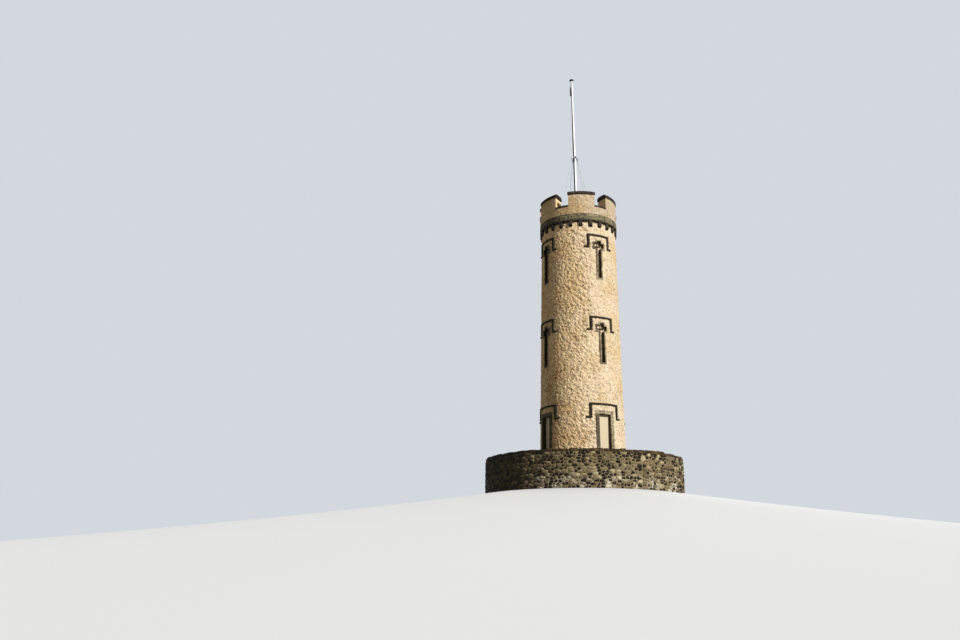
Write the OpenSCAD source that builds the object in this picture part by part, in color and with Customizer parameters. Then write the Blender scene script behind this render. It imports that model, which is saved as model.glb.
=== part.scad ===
// Round castle tower on a walled terrace: three storeys of rendered rubble with dressed stone trim,
// blind doors at the foot, cross slits above, a corbelled battlement and a stayed flagpole on the roof.
// Millimetres. The tower's axis is the Z axis, the foot of the terrace wall is Z = 0.
// The front opening faces -Y, the right one +X, the back one +Y and the left one -X.

/* [Terrace] */
// Outside radius of the terrace wall's face
terrace_radius = 5030; // [4000:10:6500]
// Height of the terrace wall under its coping
terrace_wall_height = 1705; // [900:5:2600]
// Thickness of the terrace wall
terrace_wall_thickness = 600; // [400:10:900]
// Height of the rough coping stones
terrace_coping_height = 180; // [100:5:300]
// How far the coping stands out over the wall's face
terrace_coping_overhang = 45; // [0:5:120]
// Thickness of the paving on the terrace and inside the tower
paving_thickness = 80; // [50:5:150]
// Radius of the tower's footing inside the terrace
footing_radius = 2350; // [2250:10:2800]

/* [Shaft] */
// Outside radius of the shaft at the top of the terrace coping
shaft_radius_low = 2190; // [1800:2:2800]
// How much the shaft's radius shrinks for each metre of height
shaft_taper = 15.6; // [0:0.1:40]
// Inside radius of the ground storey
ground_inner_radius = 1200; // [900:10:1500]
// How much each floor ledge widens the room above it
ledge_width = 80; // [60:5:140]
// Height from one row of openings to the same row a storey higher
storey_height = 4570; // [3500:10:5500]

/* [Blind doors] */
// Clear width between the jambs
door_width = 680; // [500:10:1000]
// Height of the door head above the terrace foot
door_head = 3960; // [3500:10:4600]
// Width of the stone surround on its face
door_surround = 185; // [120:5:260]
// Depth of the surround stones into the wall
door_surround_depth = 330; // [250:10:500]
// Depth from the wall's face to the blind panel
door_recess = 200; // [80:10:300]
// Thickness of the blind panel
door_panel_thickness = 300; // [150:10:500]

/* [Cross slits] */
// Foot of the first floor slit surrounds above the terrace foot
slit_foot = 6570; // [6000:2:7500]
// Full height of a slit surround
slit_surround_height = 2240; // [1600:2:2600]
// Width of the upright part of the surround
slit_surround_width = 390; // [300:5:500]
// Width of the cross arms of the surround
slit_arm_width = 730; // [500:5:900]
// Height of the cross arms of the surround
slit_arm_height = 410; // [300:5:500]
// Height of the middle of the cross arms above the surround's foot
slit_arm_middle = 1878; // [1200:2:2100]
// Width of the stone border around the sunk cross
slit_border = 70; // [50:5:140]
// Depth of the sunk cross
slit_sinking = 185; // [30:5:220]
// Width of the slit that goes through
slit_width = 70; // [40:5:180]
// Depth of the surround stones into the wall
slit_stone_depth = 300; // [200:10:450]
// How far surround stones stand proud of the render
stone_proud = 40; // [0:1:60]

/* [Hood moulds] */
// Width of the moulding on its face
hood_width = 115; // [80:5:160]
// How far the moulding stands out from the wall
hood_projection = 85; // [40:5:140]
// Fall of the moulding's weathered top
hood_weathering = 35; // [0:5:60]
// Half of the ground storey hoods' width over their legs
door_hood_half_width = 825; // [600:5:1000]
// Top of the ground storey hoods above the terrace foot
door_hood_top = 4542; // [4200:2:4900]
// Drop of the ground storey hoods' legs
door_hood_drop = 795; // [500:5:1100]
// Half of the slit hoods' width over their legs
slit_hood_half_width = 660; // [450:5:800]
// Top of the first floor hoods above the terrace foot
slit_hood_top = 9107; // [8800:2:9400]
// Drop of the slit hoods' legs
slit_hood_drop = 785; // [500:5:1100]
// Reach of each outward stop beyond its leg
hood_stop_reach = 165; // [60:5:250]

/* [Floors] */
// Top of the first floor boards above the terrace foot
first_floor_level = 5450; // [5000:10:6200]
// Top of the roof deck above the terrace foot
roof_level = 14400; // [14000:10:14500]
// Depth of the joists
joist_depth = 200; // [150:5:300]
// Width of the joists
joist_width = 75; // [50:5:120]
// Spacing of the joists
joist_spacing = 440; // [350:10:600]
// Thickness of the floor boards
board_thickness = 35; // [22:1:50]
// Thickness of the roof deck
deck_thickness = 60; // [40:5:100]

/* [Battlement] */
// Outside radius of the parapet
parapet_radius = 2085; // [1900:5:2400]
// Inside radius of the parapet
parapet_inner_radius = 1440; // [1200:5:1600]
// Foot of the stone band above the terrace foot
band_foot = 14390; // [14000:5:14700]
// Height of the stone band
band_height = 410; // [250:5:600]
// How far the band stands out from the parapet
band_projection = 25; // [0:5:80]
// Bevel on the band's upper edge
band_bevel = 25; // [0:5:60]
// Top of the parapet wall, under the crenel sills
parapet_top = 15220; // [15000:10:15600]
// Top of the merlons' walling
merlon_top = 15890; // [15500:10:16200]
// Number of merlons
merlon_count = 6; // [4:1:10]
// Width of each crenel
crenel_width = 745; // [400:5:1000]
// Turn of the merlon ring against the openings, in degrees
merlon_turn = 4; // [-30:1:30]
// Thickness of the crenel sills
crenel_sill_thickness = 90; // [50:5:140]
// Height of the merlon copings
merlon_coping_height = 240; // [120:5:320]
// How far copings and sills stand out
coping_overhang = 40; // [0:5:80]
// Fall of the coping's weathered slopes
coping_fall = 70; // [0:5:140]
// Number of corbels under the band
corbel_count = 24; // [12:1:48]
// Turn of the corbels against the openings, in degrees
corbel_turn = 2; // [-7:0.5:7]
// Width of a corbel
corbel_width = 200; // [80:5:260]
// Height of a corbel
corbel_height = 350; // [200:5:450]

/* [Flagpole] */
// Height of the top of the truck above the terrace foot
pole_top = 24110; // [20000:10:26000]
// Diameter of the pole at the deck
pole_foot_diameter = 175; // [100:5:220]
// Diameter of the lower length at its top
pole_step_diameter = 155; // [80:5:200]
// Height of the step in the pole above the terrace foot
pole_step_height = 20220; // [18000:10:22000]
// Diameter of the upper length at its foot
pole_upper_diameter = 150; // [60:5:180]
// Diameter of the pole under the truck
pole_tip_diameter = 90; // [40:5:120]
// Lean of the pole, in degrees
pole_lean = 0.9; // [0:0.1:3]
// Direction of the lean, in degrees from +X
pole_lean_direction = 148; // [0:1:360]
// Offset of the pole's foot from the tower's axis, along the lean
pole_offset = 45; // [0:5:200]
// Height of the stay collar above the terrace foot
collar_height = 19100; // [18000:10:20000]
// Diameter of the wire stays
stay_diameter = 16; // [8:1:25]
// Diameter of the sockets at the heads of the stays
stay_socket_diameter = 36; // [20:1:60]
// Length of those sockets
stay_socket_length = 260; // [100:10:400]
// Distance of the stay anchors from the tower's axis
stay_anchor_radius = 1330; // [900:10:1420]
// Diameter of the halyard's weight
weight_diameter = 70; // [40:5:100]
// Length of the halyard's weight with its tapered neck
weight_length = 650; // [300:10:900]
// Drop of the weight's foot below the truck's rim
weight_drop = 1015; // [700:5:1500]
// Diameter of the halyard
halyard_diameter = 10; // [6:1:16]

/* [Hidden] */
terrace_inner_radius = terrace_radius - terrace_wall_thickness;
terrace_floor_level = terrace_wall_height + paving_thickness;
terrace_top = terrace_wall_height + terrace_coping_height;
first_inner_radius = ground_inner_radius + ledge_width;
second_inner_radius = first_inner_radius + ledge_width;
second_floor_level = first_floor_level + storey_height;
first_ledge = first_floor_level - board_thickness - joist_depth;
second_ledge = second_floor_level - board_thickness - joist_depth;
roof_ledge = roof_level - deck_thickness - joist_depth;
band_top = band_foot + band_height;
band_radius = parapet_radius + band_projection;
crenel_sill_top = parapet_top + crenel_sill_thickness;
battlement_top = merlon_top + merlon_coping_height;
slit_depth = shaft_radius_low;
pole_socket_height = 450;
pole_socket_diameter = 215;
socket_plate = 420;
socket_plate_thickness = 20;
// Height at which the pole stands in its socket, on a pad over the plate
pole_rise = 24;
truck_height = 90;
truck_diameter = 260;
truck_neck_diameter = 110;
truck_neck_height = 25;
truck_rim_height = 30;
weight_neck_length = 170;
collar_length = 130;
lug_reach = 150;
seat_gap = 0.3;
lug_thickness = 14;
lug_height = 120;
collar_thickness = 18;
anchor_plate = 140;
anchor_plate_thickness = 12;
anchor_post_diameter = 40;
anchor_post_height = 90;
// Rise of the stay's foot that keeps its tilted end clear of the anchor post
stay_foot_rise = 2.4;
stay_foot_level = roof_level + anchor_plate_thickness + anchor_post_height + stay_foot_rise;
stay_tilt = atan((stay_anchor_radius - lug_reach) / (collar_height - stay_foot_level));
lug_length = lug_reach - stay_socket_diameter / 2 * cos(stay_tilt) - seat_gap;
cut_past = 60;
$fn = 96;
fine_facets = 240;

function shaft_radius(z) = shaft_radius_low - shaft_taper * (z - terrace_top) / 1000;
function depth_from_face(z, depth) = shaft_radius_low - shaft_radius(z) + depth;
function pole_shift(z) = pole_offset + tan(pole_lean) * (z - roof_level);
function pole_point(z) =
    [pole_shift(z) * cos(pole_lean_direction), pole_shift(z) * sin(pole_lean_direction), z];
function pole_diameter(z) = z < pole_step_height ? lower_diameter(z) : upper_diameter(z);
function lower_diameter(z) =
    pole_foot_diameter + (pole_step_diameter - pole_foot_diameter) * (z - roof_level - pole_rise)
    / (pole_step_height - roof_level - pole_rise);
function upper_diameter(z) =
    pole_upper_diameter + (pole_tip_diameter - pole_upper_diameter) * (z - pole_step_height)
    / (pole_top - truck_height - pole_step_height);
function stay_foot(k) =
    [stay_anchor_radius * cos(90 * k), stay_anchor_radius * sin(90 * k), stay_foot_level];
function stay_head(k) = pole_point(collar_height) + [lug_reach * cos(90 * k), lug_reach * sin(90 * k), 0];
function stay_socket_foot(k) =
    stay_head(k) + (stay_foot(k) - stay_head(k)) * stay_socket_length / norm(stay_foot(k) - stay_head(k));

// Piece to build

render_cream = [0.87, 0.79, 0.62];
panel_cream = [0.86, 0.82, 0.72];
dressed_stone = [0.33, 0.29, 0.24];
rubble_grey = [0.45, 0.42, 0.37];
earth_brown = [0.40, 0.33, 0.26];
timber_brown = [0.55, 0.42, 0.28];
lead_grey = [0.45, 0.47, 0.50];
paint_white = [0.92, 0.92, 0.90];
steel_grey = [0.55, 0.56, 0.58];

// A ring whose section is drawn in the plane of radius and height, from one angle on.
module ring_part(start, sweep) {
    rotate([0, 0, start])
        rotate_extrude(angle = sweep)
            children();
}

// Section of the battered shaft between two heights, from a given inside radius.
module shaft_section(z0, z1, inner, proud = 0) {
    polygon([
        [inner, z0],
        [shaft_radius(z0) + proud, z0],
        [shaft_radius(z1) + proud, z1],
        [inner, z1]
    ]);
}

// Repeats a front opening's part on all four sides.
module on_each_side() {
    for (k = [0:3])
        rotate([0, 0, 90 * k])
            children();
}

// A block centred on the front opening, from a depth inside the shaft's low radius outwards.
module front_block(width, z0, z1, depth) {
    translate([-width / 2, -shaft_radius_low - cut_past, z0])
        cube([width, depth + cut_past, z1 - z0]);
}

// The terrace: a drum of rubble walling that holds earth, with rough copings and paving on top.
module terrace_wall_part(start) {
    color(rubble_grey)
        ring_part(start, 90)
            translate([terrace_inner_radius, 0])
                square([terrace_wall_thickness, terrace_wall_height]);
}

module terrace_wall_front_right() {
    terrace_wall_part(-90);
}

module terrace_wall_back_right() {
    terrace_wall_part(0);
}

module terrace_wall_back_left() {
    terrace_wall_part(90);
}

module terrace_wall_front_left() {
    terrace_wall_part(180);
}

module terrace_coping() {
    color(rubble_grey)
        rotate_extrude()
            translate([terrace_inner_radius, terrace_wall_height])
                square([terrace_wall_thickness + terrace_coping_overhang, terrace_coping_height]);
}

module terrace_fill() {
    color(earth_brown)
        rotate_extrude()
            translate([footing_radius, 0])
                square([terrace_inner_radius - footing_radius, terrace_wall_height]);
}

module tower_footing() {
    color(rubble_grey)
        cylinder(h = terrace_wall_height, r = footing_radius);
}

module terrace_paving() {
    color(rubble_grey)
        rotate_extrude()
            polygon([
                [shaft_radius(terrace_wall_height), terrace_wall_height],
                [terrace_inner_radius, terrace_wall_height],
                [terrace_inner_radius, terrace_floor_level],
                [shaft_radius(terrace_floor_level), terrace_floor_level]
            ]);
}

// The shaft's walls stand in quarters that meet over the openings.
module ground_wall_part(start) {
    color(render_cream)
        difference() {
            ring_part(start, 90)
                shaft_section(terrace_wall_height, first_ledge, ground_inner_radius);
            on_each_side()
                door_surround_outline(door_surround_depth);
            on_each_side()
                front_block(door_width, terrace_wall_height - cut_past, door_head, slit_depth);
        }
}

module ground_wall_front_right() {
    ground_wall_part(-90);
}

module ground_wall_back_right() {
    ground_wall_part(0);
}

module ground_wall_back_left() {
    ground_wall_part(90);
}

module ground_wall_front_left() {
    ground_wall_part(180);
}

module first_wall_part(start) {
    color(render_cream)
        difference() {
            ring_part(start, 90)
                shaft_section(first_ledge, second_ledge, first_inner_radius);
            on_each_side()
                slit_outline(slit_foot);
        }
}

module first_wall_front_right() {
    first_wall_part(-90);
}

module first_wall_back_right() {
    first_wall_part(0);
}

module first_wall_back_left() {
    first_wall_part(90);
}

module first_wall_front_left() {
    first_wall_part(180);
}

module second_wall_part(start) {
    color(render_cream)
        difference() {
            ring_part(start, 90)
                polygon([
                    [second_inner_radius, second_ledge],
                    [shaft_radius(second_ledge), second_ledge],
                    [shaft_radius(band_foot), band_foot],
                    [parapet_inner_radius, band_foot],
                    [parapet_inner_radius, roof_ledge],
                    [second_inner_radius, roof_ledge]
                ]);
            on_each_side()
                slit_outline(slit_foot + storey_height);
        }
}

module second_wall_front_right() {
    second_wall_part(-90);
}

module second_wall_back_right() {
    second_wall_part(0);
}

module second_wall_back_left() {
    second_wall_part(90);
}

module second_wall_front_left() {
    second_wall_part(180);
}

// The hole for a blind door's surround stones, to a depth into the wall.
module door_surround_outline(depth) {
    front_block(door_width + 2 * door_surround, terrace_wall_height - cut_past, door_head + door_surround, depth);
}

module door_surrounds() {
    color(dressed_stone)
        difference() {
            intersection() {
                rotate_extrude($fn = fine_facets)
                    shaft_section(terrace_floor_level, door_head + door_surround, ground_inner_radius, stone_proud);
                on_each_side()
                    door_surround_outline(door_surround_depth);
            }
            on_each_side()
                front_block(door_width, 0, door_head, slit_depth);
        }
}

module blind_panels() {
    color(panel_cream)
        on_each_side()
            translate([-door_width / 2, -shaft_radius_low + door_recess, terrace_wall_height])
                cube([door_width, door_panel_thickness, door_head - terrace_wall_height]);
}

// A cross slit's upright and arms, each drawn in from the surround's outline by the same border.
module cross_blocks(foot, border, depth) {
    front_block(
        slit_surround_width - 2 * border,
        foot + border,
        foot + slit_surround_height - border,
        depth
    );
    front_block(
        slit_arm_width - 2 * border,
        foot + slit_arm_middle - slit_arm_height / 2 + border,
        foot + slit_arm_middle + slit_arm_height / 2 - border,
        depth
    );
}

// The hole in the wall: a cross as deep as the surround stones and an upright right through.
module slit_outline(foot) {
    cross_blocks(foot, 0, depth_from_face(foot + slit_surround_height / 2, slit_stone_depth));
    front_block(slit_surround_width, foot, foot + slit_surround_height, slit_depth);
}

module slit_surrounds(foot, shaft_inside) {
    middle = foot + slit_surround_height / 2;
    color(dressed_stone)
        difference() {
            intersection() {
                rotate_extrude()
                    shaft_section(foot, foot + slit_surround_height, shaft_inside, stone_proud);
                on_each_side()
                    cross_blocks(foot, 0, depth_from_face(middle, slit_stone_depth));
            }
            on_each_side()
                cross_blocks(foot, slit_border, depth_from_face(middle, slit_sinking));
            on_each_side()
                cross_blocks(foot, (slit_surround_width - slit_width) / 2, slit_depth);
        }
}

module first_slit_surrounds() {
    slit_surrounds(slit_foot, first_inner_radius);
}

module second_slit_surrounds() {
    slit_surrounds(slit_foot + storey_height, second_inner_radius);
}

// The moulding follows the battered face as a shell, cut to the hood's outline seen from the front.
module hoods(top, drop, half_width) {
    foot = top - drop;
    face_top = top - hood_weathering;
    inner = half_width - hood_width;
    tip = half_width + hood_stop_reach;
    intersection() {
        rotate_extrude()
            polygon([
                [shaft_radius(foot), foot],
                [shaft_radius(foot) + hood_projection, foot],
                [shaft_radius(face_top) + hood_projection, face_top],
                [shaft_radius(top), top]
            ]);
        on_each_side()
            rotate([90, 0, 0])
                linear_extrude(height = shaft_radius_low + hood_projection + cut_past)
                    polygon([
                        [-tip, foot],
                        [-inner, foot],
                        [-inner, top - hood_width],
                        [inner, top - hood_width],
                        [inner, foot],
                        [tip, foot],
                        [tip, foot + hood_width],
                        [half_width, foot + hood_width],
                        [half_width, top],
                        [-half_width, top],
                        [-half_width, foot + hood_width],
                        [-tip, foot + hood_width]
                    ]);
    }
}

module door_hoods() {
    color(dressed_stone)
        hoods(door_hood_top, door_hood_drop, door_hood_half_width);
}

module slit_hoods() {
    color(dressed_stone)
        for (floor = [0:1])
            hoods(slit_hood_top + floor * storey_height, slit_hood_drop, slit_hood_half_width);
}

// Five joists that rest on a ledge of the wall, cut to the room's round.
module joists(ledge, radius) {
    color(timber_brown)
        intersection() {
            translate([0, 0, ledge])
                cylinder(h = joist_depth, r = radius);
            for (k = [-2:2])
                translate([-radius, k * joist_spacing - joist_width / 2, ledge])
                    cube([2 * radius, joist_width, joist_depth]);
        }
}

module ground_floor() {
    color(rubble_grey)
        translate([0, 0, terrace_wall_height])
            cylinder(h = paving_thickness, r = ground_inner_radius);
}

module first_floor_joists() {
    joists(first_ledge, first_inner_radius);
}

module first_floor_boards() {
    color(timber_brown)
        translate([0, 0, first_ledge + joist_depth])
            cylinder(h = board_thickness, r = first_inner_radius);
}

module second_floor_joists() {
    joists(second_ledge, second_inner_radius);
}

module second_floor_boards() {
    color(timber_brown)
        translate([0, 0, second_ledge + joist_depth])
            cylinder(h = board_thickness, r = second_inner_radius);
}

module roof_joists() {
    joists(roof_ledge, parapet_inner_radius);
}

module roof_deck() {
    color(lead_grey)
        translate([0, 0, roof_ledge + joist_depth])
            cylinder(h = deck_thickness, r = parapet_inner_radius);
}

// Corbels with a rounded foot, let into the wall under the band.
module corbels() {
    reach = band_radius;
    foot_round = reach - shaft_radius(band_foot);
    color(dressed_stone)
        difference() {
            for (k = [0:corbel_count - 1])
                rotate([0, 0, corbel_turn + 360 / corbel_count * k])
                    translate([0, corbel_width / 2, 0])
                        rotate([90, 0, 0])
                            linear_extrude(height = corbel_width)
                                union() {
                                    translate([parapet_inner_radius, band_foot - corbel_height + foot_round])
                                        square([reach - parapet_inner_radius, corbel_height - foot_round]);
                                    intersection() {
                                        translate([reach - foot_round, band_foot - corbel_height + foot_round])
                                            circle(r = foot_round);
                                        translate([reach - foot_round, band_foot - corbel_height])
                                            square([foot_round, foot_round * 2]);
                                    }
                                }
            translate([0, 0, band_foot - corbel_height - cut_past])
                cylinder(
                    h = corbel_height + 2 * cut_past,
                    r1 = shaft_radius(band_foot - corbel_height - cut_past),
                    r2 = shaft_radius(band_foot + cut_past)
                );
        }
}

module stone_band() {
    color(dressed_stone)
        rotate_extrude()
            polygon([
                [parapet_inner_radius, band_foot],
                [band_radius, band_foot],
                [band_radius, band_top - band_bevel],
                [band_radius - band_bevel, band_top],
                [parapet_inner_radius, band_top]
            ]);
}

module parapet_wall() {
    color(render_cream)
        rotate_extrude()
            translate([parapet_inner_radius, band_top])
                square([parapet_radius - parapet_inner_radius, parapet_top - band_top]);
}

// Blocks across the whole tower, one for each pair of crenels that face each other.
module crenel_blocks(width, z0, z1) {
    for (k = [0:merlon_count / 2 - 1])
        rotate([0, 0, merlon_turn + 360 / merlon_count * k])
            translate([-width / 2, -band_radius - cut_past, z0])
                cube([width, 2 * (band_radius + cut_past), z1 - z0]);
}

module merlons() {
    color(render_cream)
        difference() {
            rotate_extrude($fn = fine_facets)
                translate([parapet_inner_radius, parapet_top])
                    square([parapet_radius - parapet_inner_radius, merlon_top - parapet_top]);
            crenel_blocks(crenel_width, parapet_top - cut_past, merlon_top + cut_past);
        }
}

module merlon_copings() {
    inner = parapet_inner_radius - coping_overhang;
    outer = parapet_radius + coping_overhang;
    color(dressed_stone)
        difference() {
            rotate_extrude($fn = fine_facets)
                polygon([
                    [inner, merlon_top],
                    [outer, merlon_top],
                    [outer, battlement_top - coping_fall],
                    [outer - 2 * coping_fall, battlement_top],
                    [inner + 2 * coping_fall, battlement_top],
                    [inner, battlement_top - coping_fall]
                ]);
            crenel_blocks(crenel_width - 2 * coping_overhang, merlon_top - cut_past, battlement_top + cut_past);
        }
}

module crenel_sills() {
    color(dressed_stone)
        intersection() {
            rotate_extrude($fn = fine_facets)
                translate([parapet_inner_radius - coping_overhang, parapet_top])
                    square([parapet_radius - parapet_inner_radius + 2 * coping_overhang, crenel_sill_thickness]);
            crenel_blocks(crenel_width, parapet_top, crenel_sill_top);
        }
}

// Stands a part on the deck at the pole's foot, leaning with the pole.
module along_pole() {
    translate(pole_point(roof_level))
        rotate([0, 0, pole_lean_direction])
            rotate([0, pole_lean, 0])
                children();
}

module flagpole() {
    lower = pole_step_height - roof_level - pole_rise;
    upper = pole_top - truck_height - pole_step_height;
    color(paint_white)
        along_pole()
            translate([0, 0, pole_rise])
                union() {
                    cylinder(h = lower, d1 = pole_foot_diameter, d2 = pole_step_diameter);
                    translate([0, 0, lower])
                        cylinder(h = upper, d1 = pole_upper_diameter, d2 = pole_tip_diameter);
                }
}

module pole_socket() {
    color(steel_grey)
        difference() {
            union() {
                translate(pole_point(roof_level) + [-socket_plate / 2, -socket_plate / 2, 0])
                    cube([socket_plate, socket_plate, socket_plate_thickness]);
                translate(pole_point(roof_level))
                    cylinder(h = pole_socket_height, d = pole_socket_diameter);
            }
            along_pole()
                translate([0, 0, pole_rise])
                    cylinder(h = pole_socket_height + cut_past, d = pole_foot_diameter);
        }
}

module pole_truck() {
    lower = pole_top - truck_height - roof_level;
    rim_top = truck_neck_height + truck_rim_height;
    color(steel_grey)
        along_pole()
            translate([0, 0, lower])
                rotate_extrude()
                    polygon([
                        [0, 0],
                        [truck_neck_diameter / 2, 0],
                        [truck_neck_diameter / 2, truck_neck_height],
                        [truck_diameter / 2, truck_neck_height],
                        [truck_diameter / 2, rim_top],
                        [truck_diameter / 4, truck_height],
                        [0, truck_height]
                    ]);
}

module stay_collar() {
    low = collar_height - roof_level - collar_length / 2;
    pole_here = pole_diameter(collar_height);
    color(steel_grey)
        difference() {
            union() {
                along_pole()
                    translate([0, 0, low])
                        cylinder(h = collar_length, d = pole_here + 2 * collar_thickness);
                translate(pole_point(collar_height))
                    for (k = [0:3])
                        rotate([0, 0, 90 * k])
                            translate([0, -lug_thickness / 2, -lug_height / 2])
                                cube([lug_length, lug_thickness, lug_height]);
            }
            along_pole()
                translate([0, 0, low - cut_past])
                    cylinder(h = collar_length + 2 * cut_past, d = pole_here);
        }
}

// The weight that hangs from the truck on the halyard, close to the pole on the side it leans to.
module halyard_weight() {
    foot = pole_top - truck_height + truck_neck_height - weight_drop;
    beside = pole_diameter(foot) / 2 + seat_gap + weight_diameter / 2;
    color(steel_grey)
        along_pole()
            translate([beside, 0, foot - roof_level])
                rotate_extrude()
                    polygon([
                        [0, 0],
                        [weight_diameter / 2, 0],
                        [weight_diameter / 2, weight_length - weight_neck_length],
                        [halyard_diameter / 2, weight_length],
                        [halyard_diameter / 2, weight_drop - seat_gap],
                        [0, weight_drop - seat_gap]
                    ]);
}

// A round rod from one point to another.
module rod_between(a, b, diameter) {
    run = b - a;
    length = norm(run);
    translate(a)
        rotate([0, acos(run[2] / length), atan2(run[1], run[0])])
            cylinder(h = length, d = diameter);
}

module pole_stays() {
    color(steel_grey)
        for (k = [0:3]) {
            rod_between(stay_foot(k), stay_head(k), stay_diameter);
            rod_between(stay_socket_foot(k), stay_head(k), stay_socket_diameter);
            rotate([0, 0, 90 * k])
                translate([stay_anchor_radius, 0, roof_level]) {
                    translate([-anchor_plate / 2, -anchor_plate / 2, 0])
                        cube([anchor_plate, anchor_plate, anchor_plate_thickness]);
                    cylinder(h = anchor_plate_thickness + anchor_post_height, d = anchor_post_diameter);
                }
        }
}

terrace_wall_front_right();
terrace_wall_back_right();
terrace_wall_back_left();
terrace_wall_front_left();
terrace_coping();
terrace_fill();
tower_footing();
terrace_paving();
ground_wall_front_right();
ground_wall_back_right();
ground_wall_back_left();
ground_wall_front_left();
first_wall_front_right();
first_wall_back_right();
first_wall_back_left();
first_wall_front_left();
second_wall_front_right();
second_wall_back_right();
second_wall_back_left();
second_wall_front_left();
door_surrounds();
blind_panels();
door_hoods();
first_slit_surrounds();
second_slit_surrounds();
slit_hoods();
ground_floor();
first_floor_joists();
first_floor_boards();
second_floor_joists();
second_floor_boards();
roof_joists();
roof_deck();
corbels();
stone_band();
parapet_wall();
merlons();
merlon_copings();
crenel_sills();
pole_socket();
flagpole();
pole_truck();
halyard_weight();
stay_collar();
pole_stays();
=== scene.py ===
import math
import random

import bmesh
import bpy
from bpy.props import FloatProperty, FloatVectorProperty, PointerProperty
from bpy.types import Operator, Panel, PropertyGroup
from mathutils import Matrix, Vector, noise


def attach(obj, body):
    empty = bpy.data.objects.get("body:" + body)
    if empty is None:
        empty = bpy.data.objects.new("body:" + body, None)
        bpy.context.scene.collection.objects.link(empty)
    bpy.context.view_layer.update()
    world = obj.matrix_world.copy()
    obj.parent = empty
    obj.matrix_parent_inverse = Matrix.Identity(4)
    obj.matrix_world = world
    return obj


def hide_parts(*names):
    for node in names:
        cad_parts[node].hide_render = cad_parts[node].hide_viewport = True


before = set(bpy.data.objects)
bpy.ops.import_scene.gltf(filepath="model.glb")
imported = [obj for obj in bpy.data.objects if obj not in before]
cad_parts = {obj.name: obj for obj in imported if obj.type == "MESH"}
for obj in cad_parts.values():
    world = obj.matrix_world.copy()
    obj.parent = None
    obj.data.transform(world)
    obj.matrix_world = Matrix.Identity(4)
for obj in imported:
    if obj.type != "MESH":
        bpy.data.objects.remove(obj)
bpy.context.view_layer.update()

bl_info = {
    "name": "Round castle tower",
    "version": (1, 0, 0),
    "blender": (4, 5, 0),
    "location": "3D View > Sidebar > Tower",
    "description": "Dresses the solids of a harled round tower with stonework, harling, paint and wire",
    "category": "Add Mesh",
}

QUARTER = math.pi / 2
SIDES = 4
STAYS = 4

# Sizes of the solids, in metres, as the part's source gives them.
TERRACE_RADIUS = 5.03
TERRACE_INNER = 4.43
TERRACE_WALL_TOP = 1.705
TERRACE_FLOOR = 1.785
TERRACE_TOP = 1.885
SHAFT_RADIUS_LOW = 2.19
SHAFT_TAPER = 0.0156
DOOR_HALF = 0.34
DOOR_HEAD = 3.96
DOOR_BORDER = 0.185
DOOR_RECESS = 0.20
STONE_PROUD = 0.04
SLIT_FEET = (6.57, 11.14)
SLIT_HEIGHT = 2.24
SLIT_MIDDLE = 1.878
SLIT_BORDER = 0.07
SLIT_SINKING = 0.185
SLIT_EDGE = 0.16
SLIT_FOOT_STONE = 0.36
STEM_HALF = 0.195
ARM_REACH = 0.365
ARM_HALF_HEIGHT = 0.205
DOOR_HOOD_TOPS = (4.542,)
DOOR_HOOD_DROP = 0.795
DOOR_HOOD_HALF = 0.825
SLIT_HOOD_TOPS = (9.107, 13.677)
SLIT_HOOD_DROP = 0.785
SLIT_HOOD_HALF = 0.66
HOOD_WIDTH = 0.115
HOOD_PROJECTION = 0.085
HOOD_FALL = 0.035
HOOD_REACH = 0.165
BAND_FOOT = 14.39
BAND_TOP = 14.80
BAND_RADIUS = 2.11
PARAPET_RADIUS = 2.085
PARAPET_INNER = 1.44
PARAPET_TOP = 15.22
SILL_TOP = 15.31
MERLON_TOP = 15.89
BATTLEMENT_TOP = 16.13
CRENELS = 6
CRENEL_HALF = 0.3725
MERLON_TURN = 4.0
COPING_OVERHANG = 0.04
COPING_FALL = 0.07
CORBELS = 24
CORBEL_HEIGHT = 0.35
CORBEL_WIDTH = 0.20
CORBEL_TOE = 0.112
CORBEL_TURN = 2.0
ROOF_LEVEL = 14.40
POLE_OFFSET = 0.045
POLE_LEAN = math.radians(0.9)
POLE_LEAN_TOWARDS = math.radians(148)
POLE_STEP = 20.22
TRUCK_FOOT = 24.02
TRUCK_RIM = 24.045
COLLAR_HEIGHT = 19.10
STAY_ANCHOR = 1.33
STAY_FOOT = 14.5044
LUG_REACH = 0.15
POLE_UPPER_RADIUS = 0.075
POLE_TIP_RADIUS = 0.045
WEIGHT_RADIUS = 0.035
WEIGHT_DROP = 1.015
SEAT_GAP = 0.0003

# The harling's skin: its least thickness, how far its edges turn in, and how far round a gap it is cut.
SKIN_LEAST = 0.004
SKIN_ROOT = 0.02
NEAR_GAP = 0.12

# The terrace's rubble: its rows, how much longer than high a stone is, its least face in square metres
# and how far it stands proud of the wall.
RUBBLE_ROWS = 12
RUBBLE_FLATNESS = 1.65
RUBBLE_LEAST = 0.0025
FACING_PROUD = 0.043

# Each rubble stone is cut from a panel with this half width, back to its nearest neighbours: at most
# this many, and no further off than this reach.
RUBBLE_PANEL = 0.36
RUBBLE_NEIGHBOURS = 14
RUBBLE_REACH_SQUARED = 0.55

# The least and the greatest length of a course's stones, and the shortest rest that makes one more.
COPING_LENGTHS = (0.22, 0.58, 0.25)
FLAG_LENGTHS = (0.45, 0.95, 0.4)
JAMB_LENGTHS = (0.24, 0.52, 0.2)
STEM_LENGTHS = (0.28, 0.5, 0.2)

# The radii between the rings of paving flags, and how many stones the band has.
FLAG_RINGS = (2.207, 2.64, 3.09, 3.53, 3.98, 4.425)
BAND_STONES = 22

# The studio floor: its level middle, the width and drop of its slope, and its edge.
FLOOR_LEVEL_RADIUS = 5.2
FLOOR_SLOPE = 75
FLOOR_DROP = 5.9
FLOOR_RADIUS = 300.0

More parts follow.
